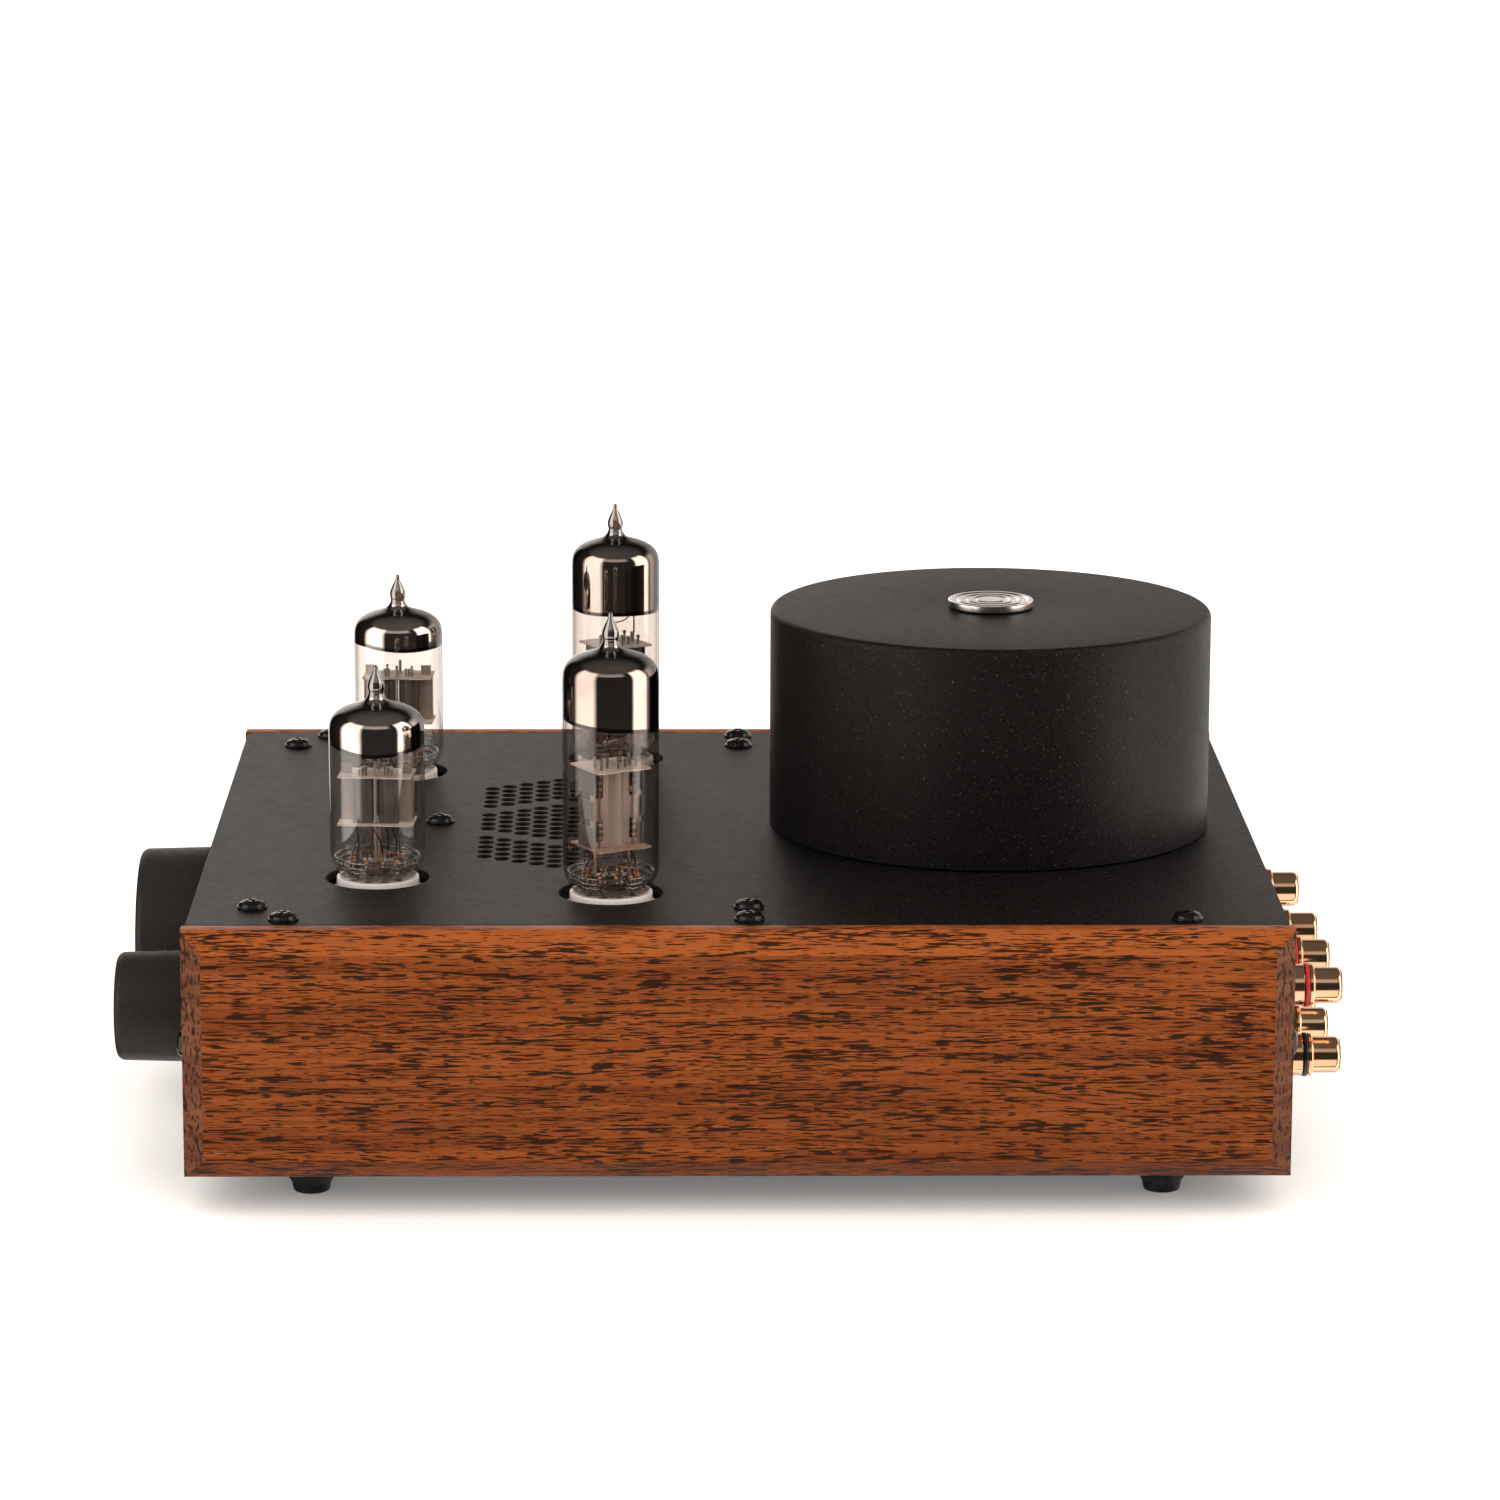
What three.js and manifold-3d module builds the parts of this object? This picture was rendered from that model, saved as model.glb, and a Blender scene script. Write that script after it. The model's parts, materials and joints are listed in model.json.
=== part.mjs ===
// Desktop tube amplifier: a steel chassis between two oak side panels, with four plug-in
// tubes, a round transformer cover, two front knobs and phono sockets at the back.
//
// Units are millimetres. +Z is up, the front panel faces -Y and the phono sockets face +Y.
// The origin is under the middle of the whole object, on the surface that the feet stand on.

import * as THREE from 'three';
import { ConvexGeometry } from 'three/addons/geometries/ConvexGeometry.js';
import { mergeVertices } from 'three/addons/utils/BufferGeometryUtils.js';
import Module from 'manifold-3d';

// ---------------------------------------------------------------------------
// Driving dimensions
// ---------------------------------------------------------------------------

const gap = 0.3;                   // clearance between pieces that seat on each other

// chassis
const chassisLength = 244;         // along Y, from one end of the oak to the other
const chassisHeight = 56;          // height of the oak panels
const chassisWidth = 217.6;        // along X, over both oak panels
const sideThickness = 19;
const sideChamfer = 4.7;           // 45 degree chamfer all round the oak's outer face
const sideLip = 4.4;               // flat strip of oak left beside the plates
const topThickness = 2;
const topInset = 0.8;              // the top plate stops this far short of the oak's ends
const topCornerRadius = 1.5;
const bottomThickness = 1.5;
const bottomSlotLength = 34;
const bottomSlotWidth = 4;
const bottomSlotPitch = 16;
const bottomSlotRows = 5;
const panelThickness = 3;          // front and rear panels

// feet
const footHeight = 8;
const footTopRadius = 7;
const footPadRadius = 4.4;
const footEdgeRadius = 1;
const footInset = 2.8;             // from the oak's inner face to a foot's axis
const footFromEnd = 27;            // from the oak's ends, along Y

// screws through the top plate into the oak
const screwHeadRadius = 3.4;
const screwHeadHeight = 2.3;
const screwHeadEdgeRadius = 1.4;
const screwShankRadius = 1.5;
const screwLength = 14;
const screwFromFront = 22;
const screwFromRear = 23;

// main circuit board, hung under the top plate on threaded standoffs
const boardThickness = 1.6;
const boardMargin = 2.5;           // from the board's edge to the oak
const boardHoleInset = 5;          // from the board's front and rear edges to its standoffs
const standoffHeight = 10;
const standoffRadius = 3;
const standoffInset = 6;           // from the oak's inner face to a corner standoff's axis
const standoffFromFront = 14.4;
const standoffPitch = 110;         // along Y
const middleStandoffFromFront = 53;
const clearanceHoleRadius = 1.9;   // plain holes for the M3 screws

// tube places
const driverFromCentre = 55;
const driverFromFront = 40.9;
const powerFromCentre = 69.6;
const powerFromFront = 93.8;
const tubeHoleClearance = 0.9;     // round the glass

// nine-pin miniature tubes and their ceramic sockets
const glassRadius = 10.8;
const glassWall = 0.9;
const glassSeat = 1;               // the glass starts this far above the top plate
const glassFootInset = 1.9;        // the glass draws in by this much at its foot
const glassFootHeight = 4.6;
const glassFootCurve = 7;
const shoulderRadius = 6;
const domeRise = 1.2;              // from the shoulder to the nipple's root
const driverTipHeight = 49;        // from the top plate to the tip
const powerTipHeight = 63.9;
const nippleHeight = 9;
const nippleRadius = 2.1;
const nippleNeckRadius = 1.5;
const nippleBulbRadius = 1.8;
const pinCount = 9;
const pinPlaces = 10;              // pins stand 36 degrees apart with one place left empty
const pinCircleRadius = 5.95;
const pinRadius = 0.5;
const pinSides = 4;
const pinLength = 7;
const buttonThickness = 2.4;
const socketRimLedge = 0.4;        // of the socket's rim outside the glass's foot
const socketBodyClearance = 1.1;   // between the socket's body and the edge of its hole
const socketRise = 0.5;            // of the socket's rim above the top plate

// electrode cages
const micaThickness = 0.5;
const micaClearance = 0.4;         // between a mica's corners and the glass
const cageRodRadius = 0.5;
const anodeWall = 0.5;
const windowEdge = 1.5;            // of anode left above and below its windows
const powerMicaHeights = [11, 29]; // above the top plate
const powerMicaCorner = 45;        // degrees between a mica's length and its corners
const powerCageTurn = 30;          // degrees about the tube's axis
const powerAnodeWidth = 13;
const powerAnodeDepth = 4.6;
const powerAnodeRib = 3;           // radius of the round middle of the anode
const powerFlangeDepth = 6.6;      // of the flange across each end of the anode
const powerWindowWidth = 2;
const powerWindowHeight = 4.4;
const driverMicaHeights = [13, 24];
const driverMicaCorner = 36;
const driverCageTurn = -4;
const driverAnodeWidth = 4.6;
const driverAnodeDepth = 6.4;
const driverAnodeSpacing = 6;      // between the two anodes' centres
const driverWing = 2;              // of the flat wing on each anode's outer side
const driverWindowDepth = 2.4;
const rodRise = 3.4;               // of the support rods above the upper mica
const gridRodRise = 1.8;
const gridRodPitch = 2.6;

// vent field
const ventColumns = 9;
const ventShortColumn = 16;        // places in the first and last columns
const ventOuterGroup = 5;          // holes in each outer group, with one blank place inside it
const ventPitchX = 4.67;
const ventPitchY = 4.045;
const ventRadius = 1.65;
const ventSides = 6;
const ventFromFront = 64.4;

// mains transformer under its cover
const coverRadius = 51.6;
const coverHeight = 51.6;
const coverWall = 1.5;
const coverEdgeRadius = 1.6;
const coverRearMargin = 10.2;      // from the oak's rear end to the cover
const badgeRadius = 10;
const badgeThickness = 2;
const toroidLeadSpace = 7.1;       // between the winding and the cover, for its leads
const toroidHoleRadius = 15;
const toroidHeadroom = 7.9;        // above the winding, for its clamp
const toroidEdgeRadius = 8;
const clampInset = 13;             // from the winding's rim to the clamp's
const clampThickness = 2;
const clampRim = 1.5;
const boltRadius = 4;
const boltHeadRadius = 7.5;
const boltHeadHeight = 5.3;
const leadHoleRadius = 3;

// front controls
const knobReach = 17.8;            // from the front panel to the knobs' faces
const knobBack = 1.4;              // air between a knob and the panel
const volumeKnobRadius = 21.4;
const selectorKnobRadius = 12.6;
const selectorFromCentre = 63;
const knobEdgeRadius = 1.9;
const knobTaper = 0.4;
const pointerWidth = 1;
const pointerLength = 6;
const pointerDepth = 0.6;
const shaftRadius = 3;
const shaftGrip = 11;              // of the shaft inside its knob
const bushingRadius = 4.6;
const nutRadius = 7.4;
const nutThickness = 2.2;
const volumeBodySize = 26;
const volumeBodyDepth = 22;
const selectorBodyRadius = 12.6;
const selectorBodyDepth = 24;
const jackFromCentre = 33;
const jackReach = 10;
const jackBushingRadius = 6;
const jackBoreRadius = 3.35;
const jackBoreDepth = 34;
const jackNutRadius = 8.4;
const jackBodyWidth = 16;
const jackBodyHeight = 20;
const jackBodyDepth = 28;
const ledFromCentre = 63;
const ledRadius = 2.5;
const ledRise = 2.6;
const ledRim = 0.6;
const ledDepth = 6;

// phono sockets
const phonoReach = 13.4;
const phonoBarrelRadius = 4.1;
const phonoBarrelEdge = 1.1;
const phonoShoulderRadius = 4.9;
const phonoShoulderReach = 7;
const phonoShankRadius = 3.6;
const phonoShankLength = 14;       // behind the panel's outer face
const phonoHoleRadius = 1.7;
const phonoHoleDepth = 9;
const phonoRowPitch = 16.1;
const firstInputX = 76;
const inputPitch = 25.2;
const inputCount = 3;
const outputX = -14.4;

// mains inlet module, with its fuse drawer and power rocker
const inletX = -62;
const inletFlangeMargin = 2;       // of the flange round the body
const inletFlangeThickness = 2.5;
const inletBodyDepth = 22;
const wellWidth = 16.6;
const wellHeight = 24.2;
const wellDepth = 17;
const wellChamfer = 4;
const bladeWidth = 4;
const bladeThickness = 2;
const bladeLength = 13;
const bladeSpread = 7;             // from the well's middle to the two outer blades
const bladeOffset = 2;             // rows of the outer and middle blades about the well's middle
const drawerWidth = 7;
const drawerHeight = 22;
const drawerDepth = 19;
const drawerLipThickness = 1.2;
const rockerWidth = 11;
const rockerHeight = 19;
const rockerPivotDepth = 2.4;      // from the flange's face to the rocker's pivot
const rockerSwingDepth = 8;        // of the recess behind the pivot
const rockerArch = 2.2;            // of the rocker's two faces about its waist
const rockerTilt = 9;              // degrees either side of level
const inletWall = 2.4;             // between and beside the module's three openings
const inletEndWall = 1.4;          // above and below the well

// filter capacitors under the board
const capacitorRadius = 11;
const capacitorHeight = 30;
const capacitorEdgeRadius = 1.2;
const capacitorPitch = 30;
const capacitorFromFront = 88;
const capacitorCount = 3;

// ---------------------------------------------------------------------------
// Sizes worked out from the driving dimensions
// ---------------------------------------------------------------------------

const frontY = -chassisLength / 2;
const rearY = chassisLength / 2;
const innerFaceX = chassisWidth / 2 - sideThickness;
const plateWidth = chassisWidth - 2 * (sideChamfer + sideLip);
const screwFromCentre = (innerFaceX + plateWidth / 2) / 2;
const standoffFromCentre = innerFaceX - standoffInset;
const footFromCentre = innerFaceX - footInset;
const controlHeight = chassisHeight / 2;
const tubeHoleRadius = glassRadius + tubeHoleClearance;
const glassInnerRadius = glassRadius - glassWall;
const glassFootRadius = glassRadius - glassFootInset;
const socketRimRadius = glassFootRadius + socketRimLedge;
const socketBodyRadius = tubeHoleRadius - socketBodyClearance;
const buttonRadius = glassFootRadius - glassWall - gap;
const micaRadius = glassInnerRadius - micaClearance;
const cageFloor = glassSeat + buttonThickness + gap;
const plateTop = chassisHeight;
const plateUnderside = plateTop - topThickness;
const boardTop = plateUnderside - standoffHeight;
const boardUnderside = boardTop - boardThickness;
const standoffFrontY = frontY + standoffFromFront;
const standoffRearY = standoffFrontY + standoffPitch;
const coverY = rearY - coverRearMargin - coverRadius;
const coverTop = plateTop + coverHeight;
const toroidRadius = coverRadius - coverWall - toroidLeadSpace;
const toroidHeight = coverHeight - coverWall - toroidHeadroom;
const clampRadius = toroidRadius - clampInset;
const driverY = frontY + driverFromFront;
const powerY = frontY + powerFromFront;

const cornerStandoffs = [-1, 1].flatMap((side) => [standoffFrontY, standoffRearY]
  .map((y) => ({ x: side * standoffFromCentre, y })));
const standoffs = [...cornerStandoffs, { x: 0, y: frontY + middleStandoffFromFront }];
const screwRows = {
  front: frontY + screwFromFront,
  middle: standoffRearY,
  rear: rearY - screwFromRear,
};
const sides = { right: 1, left: -1 };
const tubePlaces = Object.entries(sides).flatMap(([side, sign]) => [
  { name: `driver_${side}`, x: sign * driverFromCentre, y: driverY, kind: 'driver' },
  { name: `power_${side}`, x: sign * powerFromCentre, y: powerY, kind: 'power' },
]);

// ---------------------------------------------------------------------------
// Finishes
// ---------------------------------------------------------------------------

const finishes = {
  oak: { color: 0x8a4520, roughness: 0.5, metalness: 0 },
  powderBlack: { color: 0x1c1b1b, roughness: 0.6, metalness: 0.1 },
  blackScrew: { color: 0x131212, roughness: 0.3, metalness: 0.6 },
  rubber: { color: 0x141414, roughness: 0.85, metalness: 0 },
  nickel: { color: 0xb9b2a6, roughness: 0.3, metalness: 1 },
  zinc: { color: 0x9d9f9f, roughness: 0.4, metalness: 1 },
  windingTape: { color: 0xb98a2c, roughness: 0.45, metalness: 0 },
  glass: { color: 0xdfe6e6, roughness: 0.05, metalness: 0, transparent: true, opacity: 0.35 },
  glassButton: { color: 0xc9cfcf, roughness: 0.2, metalness: 0 },
  electrode: { color: 0x6a6765, roughness: 0.5, metalness: 0.8 },
  ceramic: { color: 0xece8df, roughness: 0.35, metalness: 0 },
  board: { color: 0x1d4a2c, roughness: 0.5, metalness: 0 },
  sleeve: { color: 0x1d2a4c, roughness: 0.35, metalness: 0 },
  gold: { color: 0xd8a84e, roughness: 0.22, metalness: 1 },
  plastic: { color: 0x161616, roughness: 0.45, metalness: 0 },
  lens: { color: 0xe0f0ff, roughness: 0.15, metalness: 0 },
};

// ---------------------------------------------------------------------------
// Shape helpers
// ---------------------------------------------------------------------------

const wasm = await Module();
wasm.setup();

function toSolid(geometry) {
  const bare = geometry.clone();
  bare.deleteAttribute('normal');
  bare.deleteAttribute('uv');
  const merged = mergeVertices(bare, 1e-4);
  const index = merged.index.array;
  const triangles = [];
  for (let i = 0; i < index.length; i += 3) {
    const [a, b, c] = [index[i], index[i + 1], index[i + 2]];
    if (a !== b && b !== c && c !== a) triangles.push(a, b, c);
  }
  return new wasm.Manifold(new wasm.Mesh({
    numProp: 3,
    vertProperties: new Float32Array(merged.attributes.position.array),
    triVerts: new Uint32Array(triangles),
  }));
}

function toGeometry(solid) {
  const mesh = solid.getMesh();
  const geometry = new THREE.BufferGeometry();
  geometry.setAttribute('position', new THREE.BufferAttribute(mesh.vertProperties, 3));
  geometry.setIndex(new THREE.BufferAttribute(mesh.triVerts, 1));
  geometry.computeVertexNormals();
  return geometry;
}

function join(first, ...others) {
  return toGeometry(others.reduce((sum, other) => sum.add(toSolid(other)), toSolid(first)));
}

function cut(body, ...tools) {
  return toGeometry(tools.reduce((rest, tool) => rest.subtract(toSolid(tool)), toSolid(body)));
}

// Points of an outline through the corners, each [x, y, radius], rounded where it has a radius.
function outline(corners, arcSteps = 3) {
  const points = [];
  corners.forEach(([x, y, radius = 0], i) => {
    const corner = new THREE.Vector2(x, y);
    if (radius === 0) {
      points.push(corner);
      return;
    }
    const [beforeX, beforeY] = corners.at(i - 1);
    const [afterX, afterY] = corners[(i + 1) % corners.length];
    const toBefore = new THREE.Vector2(beforeX - x, beforeY - y).normalize();
    const toAfter = new THREE.Vector2(afterX - x, afterY - y).normalize();
    const halfAngle = Math.acos(toBefore.dot(toAfter)) / 2;
    const toCentre = toBefore.clone().add(toAfter).normalize();
    const centre = corner.clone().addScaledVector(toCentre, radius / Math.sin(halfAngle));
    const start = corner.clone().addScaledVector(toBefore, radius / Math.tan(halfAngle));
    const end = corner.clone().addScaledVector(toAfter, radius / Math.tan(halfAngle));
    const startAngle = start.sub(centre).angle();
    let sweep = end.sub(centre).angle() - startAngle;
    sweep -= 2 * Math.PI * Math.round(sweep / (2 * Math.PI));
    for (let step = 0; step <= arcSteps; step += 1) {
      const angle = startAngle + sweep * (step / arcSteps);
      points.push(new THREE.Vector2(Math.cos(angle), Math.sin(angle))
        .multiplyScalar(radius).add(centre));
    }
  });
  return points;
}

function rectangle(width, height, radius = 0, centre = { x: 0, y: 0 }) {
  const [x, y] = [width / 2, height / 2];
  return [[-x, -y, radius], [x, -y, radius], [x, y, radius], [-x, y, radius]]
    .map(([cx, cy, r]) => [cx + centre.x, cy + centre.y, r]);
}

function polygon(x, y, radius, count) {
  return Array.from({ length: count }, (_, i) => {
    const angle = (2 * Math.PI * i) / count;
    return new THREE.Vector2(x + radius * Math.cos(angle), y + radius * Math.sin(angle));
  });
}

// A plate or block of the outline's shape, from z = from to z = to.
function prism(points, from, to, holes = []) {
  const shape = new THREE.Shape(points);
  shape.holes = holes.map((hole) => new THREE.Path(hole));
  const geometry = new THREE.ExtrudeGeometry(shape, { depth: to - from, bevelEnabled: false });
  return geometry.translate(0, 0, from);
}

// A body turned about Z from a profile of [radius, z] points, listed from below upwards.
function turned(profile, segments) {
  const points = profile.map((point) => (point.isVector2 ? point : new THREE.Vector2(...point)));
  return new THREE.LatheGeometry(points, segments).rotateX(Math.PI / 2);
}

function rod(radius, from, to, count, x = 0, y = 0) {
  return prism(polygon(x, y, radius, count), from, to);
}

function block(from, to) {
  const low = new THREE.Vector3(...from).min(new THREE.Vector3(...to));
  const high = new THREE.Vector3(...from).max(new THREE.Vector3(...to));
  const size = high.clone().sub(low);
  const middle = low.add(high).divideScalar(2);
  return new THREE.BoxGeometry(size.x, size.y, size.z).translate(middle.x, middle.y, middle.z);
}

// ---------------------------------------------------------------------------
// Assembly frame
// ---------------------------------------------------------------------------

const object = new THREE.Group();

// The chassis frame: Z = 0 at the oak's lower edge, Y = 0 at the middle of the oak's length.
const chassis = new THREE.Group();
chassis.position.set(0, (knobReach - phonoReach) / 2, footHeight);
object.add(chassis);

function add(name, geometry, finish, parent = chassis) {
  const mesh = new THREE.Mesh(geometry, new THREE.MeshStandardMaterial(finish));
  mesh.name = name;
  parent.add(mesh);
}

// A frame on the front panel's outer face: its Z points out of the amplifier, its Y points up.
function frontFrame(x) {
  const frame = new THREE.Group();
  frame.position.set(x, frontY, controlHeight);
  frame.rotation.x = Math.PI / 2;
  chassis.add(frame);
  return frame;
}

// A frame on the rear panel's outer face: its Z points out of the amplifier, its Y points up.
function rearFrame(x, z) {
  const frame = new THREE.Group();
  frame.position.set(x, rearY, z);
  frame.rotation.set(Math.PI / 2, 0, Math.PI, 'ZXY');
  chassis.add(frame);
  return frame;
}

// ---------------------------------------------------------------------------
// Chassis
// ---------------------------------------------------------------------------

function sidePanel(side) {
  const ring = (x, inset) => [-1, 1].flatMap((end) => [-1, 1].map((edge) => new THREE.Vector3(
    side * x,
    end * (chassisLength / 2 - inset),
    chassisHeight / 2 + edge * (chassisHeight / 2 - inset),
  )));
  const blank = new ConvexGeometry([
    ...ring(innerFaceX, 0),
    ...ring(chassisWidth / 2 - sideChamfer, 0),
    ...ring(chassisWidth / 2, sideChamfer),
  ]);
  const rebate = (y0, y1, z0, z1) => block(
    [side * (innerFaceX - 1), y0, z0],
    [side * (plateWidth / 2 + gap), y1, z1],
  );
  const pilots = Object.values(screwRows).map((y) => rod(
    screwShankRadius + gap,
    plateUnderside - screwLength,
    chassisHeight,
    8,
    side * screwFromCentre,
    y,
  ));
  return cut(
    blank,
    rebate(frontY - 1, rearY + 1, plateUnderside - gap, chassisHeight + 1),
    rebate(frontY - 1, rearY + 1, -1, bottomThickness + gap),
    rebate(frontY - 1, frontY + panelThickness + gap, -1, chassisHeight + 1),
    rebate(rearY - panelThickness - gap, rearY + 1, -1, chassisHeight + 1),
    ...pilots,
  );
}

// Staggered round holes: the columns grow by one place up to the middle one, then shrink again.
function ventHoles() {
  const holes = [];
  const middle = (ventColumns - 1) / 2;
  for (let column = 0; column < ventColumns; column += 1) {
    const places = ventShortColumn + middle - Math.abs(column - middle);
    const y = frontY + ventFromFront + column * ventPitchY;
    for (let place = 0; place < places; place += 1) {
      const fromEnd = Math.min(place, places - 1 - place);
      const x = (place - (places - 1) / 2) * ventPitchX;
      if (fromEnd !== ventOuterGroup) holes.push(polygon(x, y, ventRadius, ventSides));
    }
  }
  return holes;
}

function topPlate() {
  const screwHoles = Object.values(sides).flatMap((side) => Object.values(screwRows)
    .map((y) => polygon(side * screwFromCentre, y, clearanceHoleRadius, 6)));
  const standoffHoles = standoffs.map(({ x, y }) => polygon(x, y, clearanceHoleRadius, 6));
  const tubeHoles = tubePlaces.map(({ x, y }) => polygon(x, y, tubeHoleRadius, 16));
  const leadX = (toroidRadius + coverRadius - coverWall) / 2;
  const leadHoles = [-1, 1].map((end) => polygon(end * leadX, coverY, leadHoleRadius, 8));
  const boltHole = polygon(0, coverY, boltRadius + gap, 12);
  const edge = rectangle(plateWidth, chassisLength - 2 * topInset, topCornerRadius);
  const holes = [...ventHoles(), ...screwHoles, ...standoffHoles, ...tubeHoles, ...leadHoles, boltHole];
  return prism(outline(edge, 2), plateUnderside, plateTop, holes);
}

function bottomPlate() {
  const slots = [];
  for (let row = 0; row < bottomSlotRows; row += 1) {
    const y = (row - (bottomSlotRows - 1) / 2) * bottomSlotPitch;
    for (const x of [-bottomSlotLength, bottomSlotLength]) {
      const corners = rectangle(bottomSlotLength, bottomSlotWidth, bottomSlotWidth * 0.45, { x, y });
      slots.push(outline(corners, 1));
    }
  }
  const edge = rectangle(plateWidth, chassisLength - 2 * topInset, topCornerRadius);
  return prism(outline(edge, 2), 0, bottomThickness, slots);
}

// A front or rear panel in its own frame, with its outer face at Z = 0 and Y = 0 at control height.
function panel(holes) {
  const low = bottomThickness + gap - controlHeight;
  const high = plateUnderside - gap - controlHeight;
  const edge = rectangle(plateWidth, high - low, 0, { x: 0, y: (low + high) / 2 });
  const screwHoles = [-1, 1].map((side) => polygon(side * screwFromCentre, 0, clearanceHoleRadius, 6));
  return prism(outline(edge), -panelThickness, 0, [...holes, ...screwHoles]);
}

function foot() {
  return turned(outline([
    [0, -footHeight],
    [footPadRadius, -footHeight, footEdgeRadius],
    [footTopRadius, -gap],
    [0, -gap],
  ], 1), 12);
}

for (const [side, sign] of Object.entries(sides)) {
  add(`${side}_side_panel`, sidePanel(sign), finishes.oak);
  const ends = { front: frontY + footFromEnd, rear: rearY - footFromEnd };
  for (const [end, y] of Object.entries(ends)) {
    add(`foot_${end}_${side}`, foot().translate(sign * footFromCentre, y, 0), finishes.rubber);
  }
}
add('top_plate', topPlate(), finishes.powderBlack);
add('bottom_plate', bottomPlate(), finishes.powderBlack);

const bushingHole = (x) => polygon(x, 0, bushingRadius + gap, 16);
add('front_panel', panel([
  bushingHole(0),
  bushingHole(selectorFromCentre),
  polygon(jackFromCentre, 0, jackBushingRadius + gap, 16),
  polygon(-ledFromCentre, 0, ledRadius + gap, 12),
]), finishes.powderBlack, frontFrame(0));

// ---------------------------------------------------------------------------
// Screws that hold the top plate to the oak
// ---------------------------------------------------------------------------

function panHeadScrew() {
  return turned(outline([
    [0, gap - screwLength],
    [screwShankRadius, gap - screwLength],
    [screwShankRadius, gap],
    [screwHeadRadius, gap],
    [screwHeadRadius, screwHeadHeight, screwHeadEdgeRadius],
    [0, screwHeadHeight],
  ], 1), 8);
}

for (const [side, sign] of Object.entries(sides)) {
  for (const [row, y] of Object.entries(screwRows)) {
    const screw = panHeadScrew().translate(sign * screwFromCentre, y, plateTop);
    add(`top_screw_${row}_${side}`, screw, finishes.blackScrew);
  }
}

// ---------------------------------------------------------------------------
// Circuit board and filter capacitors
// ---------------------------------------------------------------------------

function mainBoard() {
  const width = 2 * (innerFaceX - boardMargin);
  const frontEdge = standoffFrontY - boardHoleInset;
  const rearEdge = standoffRearY + boardHoleInset;
  const edge = rectangle(width, rearEdge - frontEdge, 0, { x: 0, y: (frontEdge + rearEdge) / 2 });
  const board = prism(outline(edge), boardUnderside, boardTop);
  const posts = standoffs.map(({ x, y }) => rod(standoffRadius, boardTop - 1, plateUnderside - gap, 6, x, y));
  return join(board, ...posts);
}

add('main_board', mainBoard(), finishes.board);

const capacitorTop = boardUnderside - gap;
for (let i = 0; i < capacitorCount; i += 1) {
  const can = turned(outline([
    [0, capacitorTop - capacitorHeight],
    [capacitorRadius, capacitorTop - capacitorHeight, capacitorEdgeRadius],
    [capacitorRadius, capacitorTop],
    [0, capacitorTop],
  ], 1), 16);
  const x = (i - (capacitorCount - 1) / 2) * capacitorPitch;
  add(`filter_capacitor_${i + 1}`, can.translate(x, frontY + capacitorFromFront, 0), finishes.sleeve);
}

// ---------------------------------------------------------------------------
// Tubes and their sockets, each built about its own axis with Z = 0 at the top plate's face
// ---------------------------------------------------------------------------

const pinAngles = Array.from({ length: pinCount }, (_, i) => ((i + 1) * 2 * Math.PI) / pinPlaces);
const pinCentres = pinAngles.map((angle) => [
  pinCircleRadius * Math.sin(angle),
  pinCircleRadius * Math.cos(angle),
]);

function tubeSocket() {
  const floor = boardTop + gap - plateTop;
  const shelf = -topThickness - gap;
  const body = turned(outline([
    [0, floor],
    [socketBodyRadius, floor],
    [socketBodyRadius, shelf],
    [socketRimRadius, shelf],
    [socketRimRadius, socketRise],
    [0, socketRise],
  ]), 16);
  const holeFloor = glassSeat - pinLength - 1;
  const holes = pinCentres.map(([x, y]) => rod(
    pinRadius + 1.5 * gap,
    holeFloor,
    socketRise + 1,
    pinSides,
    x,
    y,
  ));
  return cut(body, ...holes);
}

// The envelope is a blown shell, open below where the glass button carries the pins.
function glassEnvelope(tipHeight) {
  const shoulder = tipHeight - nippleHeight - domeRise;
  const nippleRoot = shoulder + domeRise;
  const footTop = glassSeat + glassFootHeight;
  const footInner = glassFootRadius - glassWall;
  return turned(outline([
    [footInner, glassSeat],
    [glassFootRadius, glassSeat],
    [glassRadius, footTop, glassFootCurve],
    [glassRadius, shoulder, shoulderRadius],
    [nippleRadius, nippleRoot],
    [nippleNeckRadius, nippleRoot + nippleHeight * 0.25],
    [nippleBulbRadius, nippleRoot + nippleHeight * 0.45],
    [0, tipHeight],
    [0, nippleRoot - glassWall],
    [glassInnerRadius, shoulder - glassWall, shoulderRadius - glassWall],
    [glassInnerRadius, footTop, glassFootCurve],
    [footInner, glassSeat],
  ], 1), 12);
}

function pinBase() {
  const top = glassSeat + buttonThickness;
  const button = rod(buttonRadius, glassSeat, top, 12);
  const pins = pinCentres.map(([x, y]) => rod(pinRadius, glassSeat - pinLength, top - 1, pinSides, x, y));
  return join(button, ...pins);
}

// A rectangular mica plate whose four corners just clear the glass.
function mica(z, cornerDegrees) {
  const corner = THREE.MathUtils.degToRad(cornerDegrees);
  const edge = rectangle(2 * micaRadius * Math.sin(corner), 2 * micaRadius * Math.cos(corner));
  return prism(outline(edge), z - micaThickness / 2, z + micaThickness / 2);
}

const cageRod = (x, y, from, to) => rod(cageRodRadius, from, to, 4, x, y);

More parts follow.
